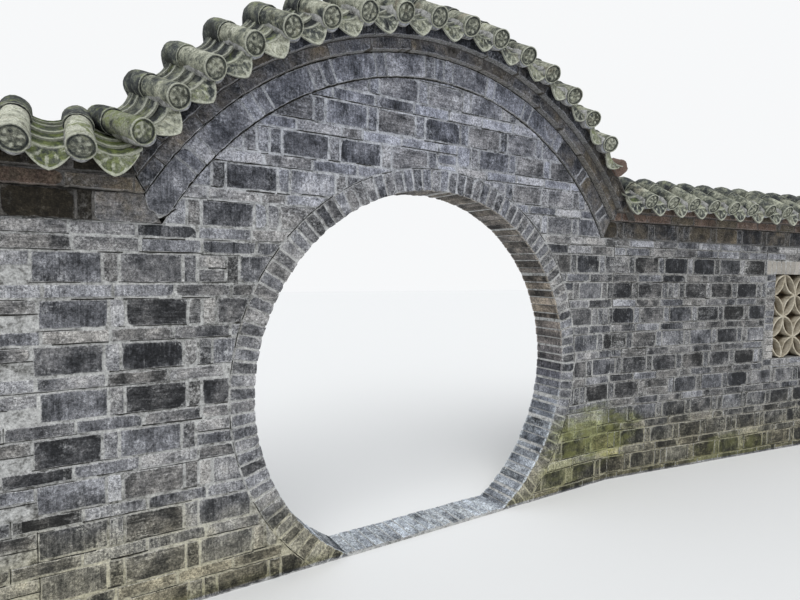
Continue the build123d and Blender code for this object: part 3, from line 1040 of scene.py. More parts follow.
def ringHalf(side, draw):
    sign = signOf[side]
    pile = Pile()
    inner, outer = openingRadius, ringRadius
    lastAngle = ringFoot(inner)
    count = round(lastAngle / (ringWork["pitch"] / ((inner + outer) / 2)))
    step = lastAngle / count
    gap = ringWork["joint"] / 2
    for k in range(count + 1):
        a0, a1 = k * step, (k + 1) * step
        radii = (inner, outer - ringWork["outerRecess"])
        points = [onCircle(r, a0 + gap / r) for r in radii] + [onCircle(r, a1 - gap / r) for r in reversed(radii)]
        points = clipHalf(points, (0, 0.005), (0, 1))
        if len(points) < 3:
            continue
        tone = clamp(draw.gauss(ringWork["toneMean"], ringWork["toneSpread"]), 0.1, 0.9)
        height = centreHeight + inner * cos((a0 + a1) / 2)
        tone -= ringWork["darker"] if height > ringWork["darkAbove"] else 0.0
        look = (tone, draw.uniform(0.15, 0.5) if height < 1.3 else draw.uniform(0.3, 0.7), 0.04)
        throughBrick(pile, bayStand, mirrored(points, side), look, draw, 4)
        if draw.random() < ringWork["openChance"] and height > 0.14:
            start, end = onCircle(outer - 0.001, a0, sign), onCircle(outer - 0.001, a1, sign)
            for face in (wallHalf, -wallHalf):
                shadowCrack(pile, bayStand, start, end, face, draw)
    body = arcCell(0, lastAngle + 0.02, inner + ringWork["soffitRecess"], outer)
    body = clipHalf(dense(body, 0.05), (0, 0.0), (0, 1))
    slab(pile, bayStand, mirrored(body, side), wallSkin, -wallSkin)
    makePiece(side, "Ring", pile, [ringLook, mortarLook, jointShadowLook], "ring_brick", "ring_top", "ring_side", "ring_foot")


ringHalf("left", random.Random(21))
ringHalf("right", random.Random(22))


# The threshold: the same bricks laid across the passage

threshold = {"top": 0.0175, "mortarTop": 0.0130, "bricks": 19, "tone": 0.66}


def thresholdStrip(draw):
    pile = Pile()
    count = threshold["bricks"]
    half = sqrt(openingRadius ** 2 - (centreHeight - 0.018) ** 2) - 0.001
    pitch = 2 * half / count
    flat = Stand((0, 0, 0), (1, 0, 0), (0, 1, 0), (0, 0, 1))
    for k in range(count):
        u0 = -half + k * pitch
        look = (draw.gauss(threshold["tone"], 0.06), draw.uniform(0.1, 0.5), 0.0)
        outline = rectangle(u0 + 0.004, u0 + pitch - 0.004, -wallHalf + 0.002, wallHalf - 0.002)
        brick(pile, flat, outline, threshold["top"], 0.001, look, draw)
    slab(pile, flat, rectangle(-half, half, -wallHalf + 0.001, wallHalf - 0.001), threshold["mortarTop"], 0.0)
    makePiece("", "thresholdStrip", pile, [ringLook, mortarLook], "ring_brick", "threshold")


thresholdStrip(random.Random(23))


# Frieze and cornices: arched courses over the bay and straight ones over the wings, cut to one mitre

crowning = [  # gap: half a joint; recess and darkening: the mortar's, a little dirt in the frieze and painted shade under the cornices
    {"name": "Frieze", "node": "frieze", "kind": "edge", "depth": 0.05, "gap": 0.004, "recess": 0.004, "dirtAndShade": 0.1},
    {"name": "LowerCornice", "node": "lower_cornice", "kind": "flat", "depth": 0.06, "gap": 0.002, "recess": 0.0025,
     "dirtAndShade": 0.85},
    {"name": "UpperCornice", "node": "upper_cornice", "kind": "flat", "depth": 0.06, "gap": 0.002, "recess": 0.0025,
     "dirtAndShade": 0.85},
]
twoHeaders = 0.22  # the chance of a second header in the frieze
wingDirtAndShade = 0.75  # darkening of the mortar of the wings' courses: painted shade under the cornices


def mitre(side, level):
    # the two ends of the cut at one course, in the bay's u and v
    base = corniceOf[side] - centreHeight
    ends = []
    for height in gate["levels"][level:level + 2]:
        across = sqrt((archRadius + height) ** 2 - (base + height) ** 2)
        ends.append((signOf[side] * across, centreHeight + base + height))
    return ends


# The left foot of the arch's frieze is rounded: how far up the cut, and how far out from it, round to the underside
roundedFoot = [(1.0, 0.0), (0.86, 0.010), (0.67, 0.019), (0.47, 0.021), (0.32, 0.017), (0.18, 0.005),
               (0.155, -0.010), (0.175, -0.045), (0.22, -0.084)]
footStart = 0.90  # angle from the crest where the foot's own filling begins


def footLine(side):
    (u0, v0), (u1, v1) = mitre(side, 0)
    length = hypot(u1 - u0, v1 - v0)
    away = ((v1 - v0) / length * signOf[side], (u0 - u1) / length * signOf[side])
    return [(u0 + (u1 - u0) * part + away[0] * push, v0 + (v1 - v0) * part + away[1] * push)
            for part, push in roundedFoot]


def cutAtMitre(outline, side, level, keepArch, wingW=None):
    low, high = mitre(side, level)
    sense = signOf[side]
    line = [high, low]
    if keepArch and side == "left" and level == 0 and all(dist(p, low) < 0.4 for p in outline):
        line = footLine(side)
    if wingW is not None:  # the same line on the wing's own plane
        stand = wingStand[side]
        line = [((u - stand.origin.x - stand.out.x * wingW) / stand.along.x, v) for u, v in line]
        sense = 1
    keep = -sense if keepArch else sense
    for (a, b), (c, d) in zip(line, line[1:]):
        size = hypot(c - a, d - b) * keep
        normal = ((b - d) / size, (c - a) / size)
        outline = clipHalf(outline, (a + normal[0] * 0.003, b + normal[1] * 0.003), normal)
    return outline


def courseLook(side, level, onArch, along, kind, draw):
    # the arch is grey at its crown and darker and browner to the right, its upper cornice dark as painted shade under
    # the eave; the wings' cornices are brown and black
    tone = brickTone(kind, draw)[0]
    if onArch:
        rightward = clamp((along - 0.35) / 0.9)
        if level == 0:
            tone = max(tone, 0.43) + 0.11
            return (tone - 0.28 * rightward, draw.uniform(0.25, 0.5), rightward * draw.uniform(0.2, 0.55))
        if level == 1:
            return (draw.uniform(0.36, 0.56), draw.uniform(0.36, 0.58), draw.uniform(0.34, 0.56) + 0.1 * rightward)
        # the upper cornice's dark tones paint the shade under the tiles
        return (draw.uniform(0.12, 0.34), draw.uniform(0.1, 0.45), draw.uniform(0.2, 0.5) + 0.2 * rightward)
    if side == "left" and along < 0.15 and level < 2:  # the brick beside the arch's foot is pale
        return (0.62, 0.55, 0.42) if level == 0 else (0.52, 0.55, 0.66)
    if side == "left":
        hue = draw.choice((0.0, 0.02, 0.06, 0.10, 0.16, 0.24))
        if level > 0:
            hue = draw.choice((0.12, 0.3, 0.42, 0.5, 0.72, 0.62) if level == 1 else (0.02, 0.06, 0.16))
        return (tone * 0.5, hue, 0.95)
    hue = draw.choice((0.26, 0.34, 0.42, 0.52)) if level == 0 else draw.choice((0.5, 0.62, 0.72, 0.8, 0.86))
    return (tone * 0.4, hue, draw.uniform(0.35, 0.8) if level == 0 else 0.85)


def archShadowLine(pile, side, radius, end, surface, draw, width):
    # a painted shadow line that follows the arch down to the mitre
    sign, count = signOf[side], 36
    last = atan2(end[0] * sign, end[1] - centreHeight)
    stops = [onCircle(radius, last * k / count, sign) for k in range(count + 1)]
    for start, stop in zip(stops, stops[1:]):
        shadowCrack(pile, bayStand, start, stop, surface, draw, width)


def friezeShadowLines(pile, side, onArch, low, high, face, draw):
    # painted shadow lines under and over the frieze, where the courses stand out, and round the arch's foot
    if not onArch:
        start, end = (0.05, high - 0.0025), (wingLength - 0.01, high - 0.0025)
        shadowCrack(pile, wingStand[side], start, end, face, draw, 0.006)
        return
    lowEnd, highEnd = mitre(side, 0)
    way = 1 if face > 0 else -1
    ground = way * (wallHalf + shadowCrackShape["depths"][0])  # on the wall's own brick faces
    if side == "left":
        foot = footLine(side)
        lowEnd = foot[-1]
        for k, (start, stop) in enumerate(zip(foot, foot[1:])):
            shadowCrack(pile, bayStand, start, stop, face + way * 0.001 if k < 5 else ground, draw, 0.006)
    archShadowLine(pile, side, low - 0.004, lowEnd, ground, draw, 0.007)
    archShadowLine(pile, side, high - 0.0025, highEnd, face, draw, 0.006)


def courseBricks(level, along, header, end, steady, draw):
    # start, end and kind of every brick along a course; only the frieze has headers, in pairs only beyond steady
    while along < end:
        length, kind = longBrick + joint, crowning[level]["kind"]
        if level == 0 and header:
            length, kind = thinBrick + joint, "header"
            header = draw.random() < twoHeaders and along > steady
        else:
            header = level == 0
        yield along, along + length, kind
        along += length


def crownCourses(side, onArch, draw):
    stand = bayStand if onArch else wingStand[side]
    wingEnd = wingLength - 0.004
    for level, course in enumerate(crowning):
        pile = Pile()
        foot = archRadius if onArch else corniceOf[side]
        low, high = foot + gate["levels"][level] + 0.001, foot + gate["levels"][level + 1]
        reach = wallHalf + gate["outs"][level]
        for face in (reach, -reach):
            way = 1 if face > 0 else -1
            along, header = 0.0 if onArch else -0.25, draw.random() < 0.5
            if side == "left" and level == 0 and not onArch:
                along, header = -0.103, False
            end, steady = (1.25 * low, -1) if onArch else (wingLength - 0.02, 0.6)
            for start, stop, kind in courseBricks(level, along, header, end, steady, draw):
                start, stop = start + course["gap"], stop - course["gap"]
                front, back = face, way * course["depth"]
                if onArch:
                    a0, a1 = start / low, stop / low
                    outline = mirrored(arcCell(a0, a1, low, high - 0.005), side)
                    outline = cutAtMitre(outline, side, level, True)
                    middle = signOf[side] * low * sin((a0 + a1) / 2)
                    front += way * 0.004 if level == 0 and a1 > 1.0 else 0.0
                else:
                    stop = min(stop, wingEnd)
                    if stop - start < 0.02:
                        continue
                    outline = cutAtMitre(rectangle(start, stop, low, high - 0.005), side, level, False, face)
                    middle = (start + stop) / 2
                    if stop > wingEnd - 0.006:
                        back = 0.004 * way
                if len(outline) > 2 and abs(outlineArea(outline)) >= 0.0008:
                    look = courseLook(side, level, onArch, middle, kind, draw)
                    brick(pile, stand, outline, front, back, look, draw)
            if level == 0:
                friezeShadowLines(pile, side, onArch, low, high, face, draw)
        skin = reach - course["recess"]
        if onArch:
            parts = [(0, 1.25, skin)]
            if side == "left" and level == 0:  # behind the foot a filling flush with the wall
                parts = [(0, footStart, skin), (footStart, 1.12, skin), (footStart, 1.25, wallHalf - 0.001)]
            for start, stop, half in parts:
                body = cutAtMitre(mirrored(arcCell(start, stop, low + 0.003, high), side), side, level, True)
                slab(pile, stand, dense(body, 0.06), half, -half, 0.3, course["dirtAndShade"])
        else:
            body = cutAtMitre(rectangle(-0.3, wingEnd, low + 0.002, high), side, level, False, 0.0)
            slab(pile, stand, body, skin, -skin, 0.3, wingDirtAndShade)
        place, node = ("Arch", "arch_") if onArch else ("Wing", "wing_")
        makePiece(side, place + course["name"], pile, brickwork, "cornice_brick", node + course["node"])


for side, seed in (("left", 31), ("right", 41)):
    crownCourses(side, True, random.Random(seed))
    crownCourses(side, False, random.Random(seed + 1))


# The tiled cap. A foot stands under the ridge at the frieze's underside, v outwards and w to the front.

cap = {
    "eave": 0.275, "eaveHeight": 0.281, "slope": radians(30), "ridgeRound": 0.07,
    "radius": 0.0515, "discRadius": 0.0540, "saddleRadius": 0.0575, "rowPitch": 0.220,
    "discAhead": 0.033, "frontEnd": 0.213, "saddleStart": 0.190, "crestLean": 0.2,
    "panHalf": 0.100, "panDip": 0.036, "panRise": 0.046, "panThick": 0.010, "panExposed": 0.074, "panLength": 0.135,
    "dripTip": 0.116, "dripRise": 0.096, "dripHalf": 0.091, "dripThick": 0.012, "dripLean": 0.20,
    "dripRelief": 0.0058,
    "discSegments": 28, "tubeSegments": 20,
    "barrelTone": (0.58, 0.78), "saddleTone": (0.18, 0.40), "panTone": (0.12, 0.40), "ridgePanTone": (0.15, 0.35),
    "dripTone": (0.42, 0.72),
    "bedding": [(-0.012, 0.046, 0), (0.0, 0.054, 0), (0.05, 0.057, 0), (0.11, 0.056, 0), (0.17, 0.054, 0)],
}
discShape = {
    "petals": ((0.10, 0.0012), (0.19, 0.0002), (0.27, -0.0032), (0.36, -0.0030), (0.45, -0.0018), (0.54, -0.0018),
               (0.62, -0.0030), (0.70, -0.0052)),  # part of the radius, how far out
    # and edge and shade: recessed rings painted darker as shade, the raised rim paler as a highlight
    "rim": ((0.79, -0.0055, 0.0, 0.32), (0.86, -0.0055, 0.0, 0.30), (0.90, 0.0, 0.7, 0.6), (0.97, 0.0008, 1.0, 0.70)),
    "back": ((0.001, 1.0, 1.0), (0.010, 1.0, 0.5), (0.014, 0.95, 0.1)),  # how far back, part of the radius, edge
    "relief": 0.0022, "lumps": 0.0042,
}
straightRun = (cap["eave"] - cap["ridgeRound"] * sin(cap["slope"])) / cos(cap["slope"])
wholeRun = 2 * straightRun + 2 * cap["ridgeRound"] * cap["slope"]


def slopeLine(s, way):
    # a point on the line of the barrel axes, s from the eave on one side over the ridge to the other
    tilt = cap["slope"]
    if s <= straightRun:
        w, v, angle = cap["eave"] - s * cos(tilt), cap["eaveHeight"] + s * sin(tilt), tilt
    elif s >= wholeRun - straightRun:
        back = wholeRun - s
        w, v, angle = -cap["eave"] + back * cos(tilt), cap["eaveHeight"] + back * sin(tilt), -tilt
    else:
        angle = tilt - (s - straightRun) / cap["ridgeRound"]
        middle = cap["eaveHeight"] + straightRun * sin(tilt) - cap["ridgeRound"] * cos(tilt)
        w, v = cap["ridgeRound"] * sin(angle), middle + cap["ridgeRound"] * cos(angle)
    return w * way, v, (-cos(angle) * way, sin(angle)), (sin(angle) * way, cos(angle))


def tube(pile, foot, stops, look, draw, way=1, disc=None, wobble=0.0022, slot=0):
    # a barrel tile through (s, radius, edge) stops, with a moulded disc of a given radius on its first end
    segments = cap["discSegments"] if disc else cap["tubeSegments"]
    points, faces, looks = [], [], []
    tone, moss, clay = look
    phase = draw.uniform(0, 40)

    def ring(s, radius, edge, lift=0.0, shade=None, relief=None):
        # a ring of points, joined to the one before it
        w, v, along, out = slopeLine(s, way)
        base = len(points)
        for k in range(segments):
            angle = 2 * pi * k / segments
            r = radius + wobble * noise.noise(Vector((cos(angle) * 1.5, sin(angle) * 1.5, s * 12 + phase)))
            across, rise = r * cos(angle), r * sin(angle)
            raised = relief(angle) if relief else 0.0
            ahead = lift + raised
            points.append(foot.point(across, v + out[1] * rise - along[1] * ahead,
                                     w + out[0] * rise - along[0] * ahead))
            # raised relief is painted paler and hollows darker: painted highlight and shade
            shown = clamp(0.4 + raised * 230) if relief else edge
            looks.append((tone if shade is None else shade + raised * 60, shown, moss, clay))
        if base:
            faces.extend(bandFaces(base - segments, base, segments))

    start = stops[0][0]
    if disc:
        petals, turnBy, lumps = draw.choice((5, 6, 7)), draw.uniform(0, 6), draw.uniform(0, 50)
        ring(start, 0.0002, 0.9, 0.001, 0.45)
        for part, lift in discShape["petals"]:
            def moulding(angle):
                lump = noise.noise(Vector((part * cos(angle) * 3.4, part * sin(angle) * 3.4, lumps)))
                petal = discShape["relief"] * sin(petals * angle + turnBy) * (0.3 < part < 0.66)
                return petal + discShape["lumps"] * lump

            ring(start, disc * part, 0.4, lift, 0.60, moulding)
        for part, lift, edge, shade in discShape["rim"]:
            ring(start, disc * part, edge, lift, shade)
        faces.append(tuple(range(segments)))
        for further, part, edge in discShape["back"]:
            ring(start + further, disc * part, edge)
        stops = stops[1:]
    else:
        ring(start, stops[0][1] * 0.9, 0.2)
        faces.append(tuple(range(segments)))
    for stop in stops:
        ring(*stop)
    ring(stops[-1][0], stops[-1][1] * 0.85, 0.1)
    faces.append(tuple(range(len(points) - segments, len(points))))
    pile.shell(points, faces, looks, slot)


def plate(pile, top, columns, rows, thick, look, edgeAt=None):
    # a thin closed sheet over a grid; top(i, j) gives a point and the direction of its thickness
    tone, moss, clay = look
    points, looks = [], []
    for layer in (0, 1):
        for i in range(columns + 1):
            for j in range(rows + 1):
                spot, inward = top(i / columns, j / rows)
                points.append(spot + inward * (thick * layer))
                rim = 1.0 if (j == 0 or i in (0, columns)) else 0.0
                looks.append((tone, edgeAt(i / columns, j / rows) if edgeAt else rim, moss, clay))
    size = (columns + 1) * (rows + 1)

    def number(i, j, layer):
        return layer * size + i * (rows + 1) + j

    faces = []
    for i in range(columns):
        for j in range(rows):
            faces.append((number(i, j, 0), number(i + 1, j, 0), number(i + 1, j + 1, 0), number(i, j + 1, 0)))
            faces.append((number(i, j, 1), number(i, j + 1, 1), number(i + 1, j + 1, 1), number(i + 1, j, 1)))
    for i in range(columns):
        faces.append((number(i, 0, 0), number(i, 0, 1), number(i + 1, 0, 1), number(i + 1, 0, 0)))
        faces.append((number(i, rows, 0), number(i + 1, rows, 0), number(i + 1, rows, 1), number(i, rows, 1)))
    for j in range(rows):
        faces.append((number(0, j, 0), number(0, j + 1, 0), number(0, j + 1, 1), number(0, j, 1)))
        far = columns
        faces.append((number(far, j, 0), number(far, j, 1), number(far, j + 1, 1), number(far, j + 1, 0)))
    pile.shell(points, faces, looks)


def panDip(across):
    return -cap["panDip"] + cap["panRise"] * across * across


def panTiles(pile, foot, draw, mossy):
    # overlapping troughs between two rows, and a saddle over the ridge
    def spotOn(s, way, across, lift):
        w, v, along, out = slopeLine(max(s, 0), way)
        if s < 0:
            w, v = w + along[0] * s, v + along[1] * s
        spot = foot.point(across * cap["panHalf"], v + out[1] * lift, w + out[0] * lift)
        return spot, foot.up * -out[1] + foot.out * -out[0]

    for way in (1, -1):
        for k in range(4):
            s0 = cap["panExposed"] * k - 0.004
            s1 = min(s0 + cap["panLength"], wholeRun / 2)
            skew, sink = draw.uniform(-0.004, 0.004), draw.uniform(-0.0015, 0.0015)

            def top(i, j):
                across = 2 * i - 1
                lift = panDip(across) + 0.012 * (1 - j) * (1.0 if k else 0.2) + sink + skew * across
                return spotOn(s0 + (s1 - s0) * j, way, across, lift)

            look = (draw.uniform(*cap["panTone"]), draw.uniform(0.2, 0.6) + mossy * 0.6, 0)
            plate(pile, top, 10, 2, cap["panThick"], look)
    low, high = wholeRun / 2 - 0.055, wholeRun / 2 + 0.055

    def ridge(i, j):
        return spotOn(low + (high - low) * j, 1, 2 * i - 1, panDip(2 * i - 1) + 0.013)

    plate(pile, ridge, 10, 6, cap["panThick"], (draw.uniform(*cap["ridgePanTone"]), 0.3 + mossy, 0))


def dripTile(pile, foot, way, draw, mossy, pale=1.0):
    # a leaf-shaped plate that hangs from the lowest pan, with a rim and veins
    tone = draw.uniform(*cap["dripTone"]) * pale
    lean = cap["dripLean"] + draw.uniform(-0.05, 0.05)
    phase = draw.uniform(0, 6)
    w, v = slopeLine(0, way)[:2]

    def relief(i, j):
        across = abs(2 * i - 1)
        if j > 0.84 or across > 0.87:
            return 1.0
        if j < 0.08:
            return 0.6
        veins = sin(atan2(2 * i - 1, 0.35 + j) * 15 + phase * 0.2) + 0.35 * sin(9 * j + 5 * across + phase)
        return 0.42 + 0.42 * veins

    def top(i, j):
        across = abs(2 * i - 1)
        high = panDip(across) - 0.001
        low = -cap["dripTip"] + cap["dripRise"] * (0.3 * across + 0.7 * across ** 2.2)
        drop = (high - low) * j
        push = -0.012 + drop * lean + cap["dripRelief"] * relief(i, j) - 0.006 * across ** 2
        return foot.point((2 * i - 1) * cap["dripHalf"], v + high - drop, w + way * push), foot.out * -way

    # the relief also paints the raised rim and veins paler: painted highlight
    plate(pile, top, 24, 10, cap["dripThick"], (tone, draw.uniform(0.2, 0.5) + mossy, 0), relief)


def bedAlong(pile, stations):
    # the mortar bed under the tiles, a closed solid through a row of feet, painted dark as the shade under the eave
    points, faces = [], []
    section = [(0.236, 0.2505), (0.236, 0.256)]  # w and v of its edge under the eave
    for s in (0.09, 0.17, 0.24):
        w, v = slopeLine(s, 1)[:2]
        section.append((w, v - 0.052))
    section.append((0.0, slopeLine(wholeRun / 2, 1)[1] - 0.046))
    section += [(-a, b) for a, b in reversed(section[:-1])]
    count = len(section)
    for foot in stations:
        points += [foot.point(0, v, w) for w, v in section]
    last = len(points) - count
    for base in range(0, last, count):
        faces += bandFaces(base, base + count, count)
    faces += [tuple(range(count)), tuple(range(last, last + count))]
    pile.shell(points, faces, [(0.5, 0.0, 0.3, 0.8)] * len(points), mortarSlot)


bedEnd = 9.3  # where the bed over the arch ends, in rows from the crest
rowTurn = cap["rowPitch"] / (archRadius + cap["eaveHeight"])
firstRow = {"left": 0.190, "right": 0.150}


def archFoot(side, steps):
    angle = rowTurn * steps
    sign = signOf[side]
    up = Vector((sign * sin(angle), 0, cos(angle)))
    origin = Vector((0, 0, centreHeight)) + up * archRadius
    return Stand(origin, (cos(angle), 0, -sign * sin(angle)), up, (0, -1, 0))


def rowFoot(side, steps):
    # the rows lean to the left of an even spacing, most at the crest
    return archFoot(side, steps - signOf[side] * cap["crestLean"] * (1 - (steps / 9) ** 2))


def wingFoot(side, steps, shift=0.0):
    return wingStand[side].moved(firstRow[side] + cap["rowPitch"] * steps + shift, corniceOf[side])


def barrelRow(pile, foot, draw, pale, mossy):
    foot = foot.moved(draw.uniform(-0.004, 0.004), draw.uniform(-0.003, 0.003))
    bedding = foot.moved(0, -0.020)
    radius, saddle = cap["radius"], cap["saddleRadius"]
    for way in (1, -1):
        tone = draw.uniform(*cap["barrelTone"]) * pale
        begin = -cap["discAhead"] / cos(cap["slope"]) + draw.uniform(0.0, 0.010)
        end = cap["frontEnd"]
        stops = [(begin, radius, 0.0)]
        stops += [(begin + 0.02 + (end - begin - 0.02) * k / 4, radius * (1.0 - 0.008 * k), 0.0) for k in range(5)]
        tube(pile, foot, stops, (tone, draw.uniform(0.05, 0.4) + mossy, 0), draw, way, cap["discRadius"])
        tube(pile, bedding, cap["bedding"], (0.5, 0.3, 0.12), draw, way, wobble=0.007, slot=mortarSlot)
    start = cap["saddleStart"] + draw.uniform(-0.012, 0.010)
    end = wholeRun - cap["saddleStart"] + draw.uniform(-0.010, 0.012)
    rim = [(0, 1.0, 0.9), (0.006, 1.02, 0.5), (0.018, 1.0, 0.0)]  # from each end: how far in, radius, edge
    stops = [(start + inwards, saddle * part, edge) for inwards, part, edge in rim]
    stops += [(start + 0.018 + (end - start - 0.036) * k / 9, saddle * 0.985, 0.0) for k in range(1, 9)]
    stops += [(end - inwards, saddle * part, edge) for inwards, part, edge in reversed(rim)]
    tube(pile, foot, stops, (draw.uniform(*cap["saddleTone"]), draw.uniform(0.0, 0.45) + mossy, 0), draw)


roof = {  # rows, and looks of barrels ("pale", "moss") and drips
    "archRows": {"left": 9, "right": 7}, "wingRows": 16,
    "archPale": {"left": 0.86, "right": 0.78}, "wingPale": {"left": 1.05, "right": 0.66},
    "freshRows": 3, "freshPale": 1.22,  # the first rows of the left wing
    "archMoss": 0.08, "lastMoss": 0.55,  # most on the last row at the left foot
    "archPanMoss": 0.10, "archDripMoss": 0.14,
    "wingMoss": {"left": 0.58, "right": 0.15}, "wingDripPale": {"left": 1.0, "right": 0.68},
}


def archRoof(side, draw):
    pile = Pile()
    rows = roof["archRows"][side]
    for k in range(rows):
        moss = roof["lastMoss" if side == "left" and k == rows - 1 else "archMoss"]
        barrelRow(pile, rowFoot(side, k + 0.5), draw, roof["archPale"][side], moss)
    first, last = (0, rows) if side == "left" else (1, rows + 1)  # the top pan belongs to the left half
    for k in range(first, last):
        foot = rowFoot(side, k)
        panTiles(pile, foot, draw, roof["archPanMoss"])
        for way in (1, -1):
            dripTile(pile, foot, way, draw, roof["archDripMoss"])
    if side == "right":  # the last rows are broken off: one clay stump is left
        foot = rowFoot(side, rows + 0.5)
        stump = [(0.02, 0.050, 1.0), (0.034, 0.056, 0.4), (0.09, 0.055, 0.0), (0.15, 0.054, 0.0)]
        tube(pile, foot, stump, (0.5, 0.0, 0.95), draw, 1, wobble=0.014)
        tube(pile, foot, [(0.0, 0.057, 0.9), (0.1, 0.056, 0.0), (0.19, 0.055, 0.0)], (0.6, 0.3, 0.0), draw, -1)
    bedAlong(pile, [archFoot(side, bedEnd * k / 40) for k in range(41)])
    makePiece(side, "ArchRoof", pile, tilework, "roof_tile", "arch_roof", sharp=50)


def wingRoof(side, draw):
    pile = Pile()
    rows, moss = roof["wingRows"], roof["wingMoss"][side]
    for k in range(rows):
        pale = roof["freshPale"] if side == "left" and k < roof["freshRows"] else roof["wingPale"][side]
        barrelRow(pile, wingFoot(side, k), draw, pale, moss / 3)
    for k in range(rows):
        foot = wingFoot(side, k - 0.5)
        panTiles(pile, foot, draw, moss)
        for way in (1, -1):
            dripTile(pile, foot, way, draw, moss, roof["wingDripPale"][side])
    start, end = -0.10, wingLength - firstRow[side] - 0.004
    bedAlong(pile, [wingFoot(side, 0, start + (end - start) * k / 6) for k in range(7)])
    makePiece(side, "WingRoof", pile, tilework, "roof_tile", "wing_roof", sharp=50)


for side, seed in (("left", 51), ("right", 61)):
    archRoof(side, random.Random(seed))
    wingRoof(side, random.Random(seed + 1))


# The windows: a petal lattice of bent tiles, and a band of pale bricks on end over it

def windowLattice(side, draw):
    pile = Pile()
    top = corniceOf[side] - window["drop"]
    bottom = top - window["height"]
    left, right = window["start"], window["start"] + window["width"]
    halfU, halfV = window["width"] / window["columns"] / 2, window["height"] / window["rows"] / 2
    rise = (sqrt(2) - 1) / 2  # of a quarter circle, in lengths of its chord
    thick, deep = window["tile"] / 2, window["depth"] - 0.002
    count = 8
    for column in range(window["columns"]):
        for row in range(window["rows"]):
            midU, midV = left + (2 * column + 1) * halfU, bottom + (2 * row + 1) * halfV
            corners = [(midU + halfU, midV), (midU, midV + halfV), (midU - halfU, midV), (midU, midV - halfV)]
            for number in range(4):
                (a, b), (c, d) = corners[number - 1], corners[number]
                length = hypot(c - a, d - b)
                normal = (-(d - b) / length, (c - a) / length)
                for way in (1, -1):
                    bulge = way * rise * length * draw.uniform(0.93, 1.05)
                    line = []
                    for t in (k / count for k in range(count + 1)):
                        push = bulge * 4 * t * (1 - t)
                        line.append((a + (c - a) * t + normal[0] * push, b + (d - b) * t + normal[1] * push))
                    outer, inner = [], []
                    for k, (u, v) in enumerate(line):
                        (pu, pv), (nu, nv) = line[max(k - 1, 0)], line[min(k + 1, count)]
                        size = hypot(nu - pu, nv - pv)
                        across = ((nv - pv) / size * thick, -(nu - pu) / size * thick)
                        outer.append((u + across[0], v + across[1]))
                        inner.append((u - across[0], v - across[1]))
                    outline = outer + inner[::-1]
                    for corner, keep in (((left, 0), (1, 0)), ((right, 0), (-1, 0)),
                                         ((0, bottom), (0, 1)), ((0, top), (0, -1))):
                        outline = clipHalf(outline, corner, keep)
                    brick(pile, wingStand[side], outline, deep, -deep, (0.6, 0.5, 0), draw, True, 3, True)
    makePiece(side, "WindowLattice", pile, [latticeLook], "lattice_tile", "window_lattice")


def windowLintel(side, draw):
    pile = Pile()
    b0, b1, _, c1 = windowBox(side)
    v0 = c1 - window["lintel"]
    count = round((b1 - b0) / (thinBrick + joint))
    pitch = (b1 - b0) / count
    for k in range(count):
        u0 = b0 + k * pitch
        outline = rectangle(u0 + 0.004, u0 + pitch - 0.004, v0 + 0.001, c1 - 0.008)
        throughBrick(pile, wingStand[side], outline, (draw.gauss(*window["lintelTone"]), 0.5, 0), draw)
    skin = wallSkin + 0.001  # just proud of the wall's own filling
    slab(pile, wingStand[side], rectangle(b0, b1, v0 + 0.003, c1), skin, -skin)
    makePiece(side, "WindowLintel", pile, [lintelLook, mortarLook], "lintel_brick", "window_lintel")


for side, seed in (("left", 71), ("right", 81)):
    windowLattice(side, random.Random(seed))
    windowLintel(side, random.Random(seed + 1))


# Floor, light and camera

studio = {
    "floorSize": 60, "floorColour": (0.80, 0.80, 0.79),
    "background": (0.93, 0.94, 0.95), "skyColour": (0.93, 0.96, 1.0), "skyStrength": 0.80,
    "sunStrength": 1.45, "sunAngle": 50, "sunDirection": (0.42, 0.62, -1.0),
    "cameraPlace": (-1.9206, -2.7244, 1.5776), "yaw": 32.463, "pitch": -3.274, "roll": 0.931, "lens": 24.746,
    "sensor": 36, "clip": (0.05, 200),
}


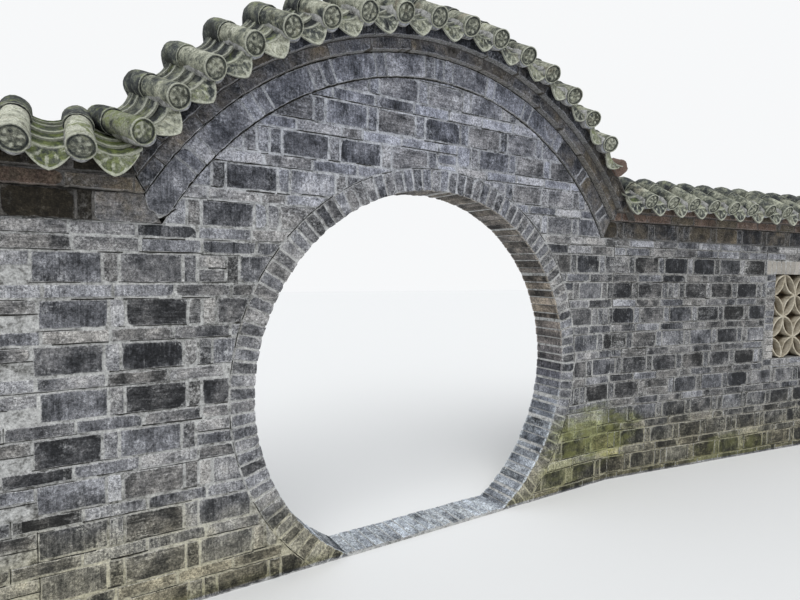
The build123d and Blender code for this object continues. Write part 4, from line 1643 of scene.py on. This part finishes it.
def makeFloor():
    half = studio["floorSize"] / 2
    mesh = bpy.data.meshes.new("floor")
    mesh.from_pydata([(u, v, 0) for u, v in rectangle(-half, half, -half, half)], [], [(0, 1, 2, 3)])
    shader = Shader("paleFloor")
    values = {"Base Color": studio["floorColour"], "Roughness": 0.9, "Specular IOR Level": 0.2}
    shader.node("OutputMaterial", {}, {"Surface": shader.node("BsdfPrincipled", {}, values)})
    mesh.materials.append(shader.owner)
    addObject("floor", mesh)


def makeLight():
    sun = bpy.data.lights.new("softSun", "SUN")
    sun.energy = studio["sunStrength"]
    sun.angle = radians(studio["sunAngle"])
    lamp = addObject("softSun", sun)
    lamp.rotation_euler = Vector(studio["sunDirection"]).to_track_quat("-Z", "Y").to_euler()
    world = Shader("studio", bpy.data.worlds)
    glossy = world.node("LightPath", output="Is Glossy Ray")
    seen = world.node("LightPath", output="Is Camera Ray").maths("MAXIMUM", glossy)
    skylight = world.node("Background", {}, {"Color": studio["skyColour"], "Strength": studio["skyStrength"]})
    shown = world.node("Background", {}, {"Color": studio["background"]})
    mixed = world.node("MixShader", {}, {0: seen, 1: skylight, 2: shown})
    world.node("OutputWorld", {}, {"Surface": mixed})
    bpy.context.scene.world = world.owner


def makeCamera():
    yaw, pitch, roll = (radians(studio[key]) for key in ("yaw", "pitch", "roll"))
    ahead = Vector((sin(yaw) * cos(pitch), cos(yaw) * cos(pitch), sin(pitch)))
    right = Vector((cos(yaw), -sin(yaw), 0))
    up = right.cross(ahead)
    levelRight = right * cos(roll) + up * sin(roll)
    levelUp = up * cos(roll) - right * sin(roll)
    data = bpy.data.cameras.new("photoView")
    data.lens = studio["lens"]
    data.sensor_width = studio["sensor"]
    data.clip_start, data.clip_end = studio["clip"]
    camera = addObject("photoView", data)
    placed = camera.matrix_world.copy()
    for column, axis in enumerate((levelRight, levelUp, -ahead, Vector(studio["cameraPlace"]))):
        placed.col[column][:3] = axis
    camera.matrix_world = placed
    bpy.context.scene.camera = camera


makeFloor()
makeLight()
makeCamera()
bpy.context.scene.view_settings.view_transform = "Standard"
print("stage ready")
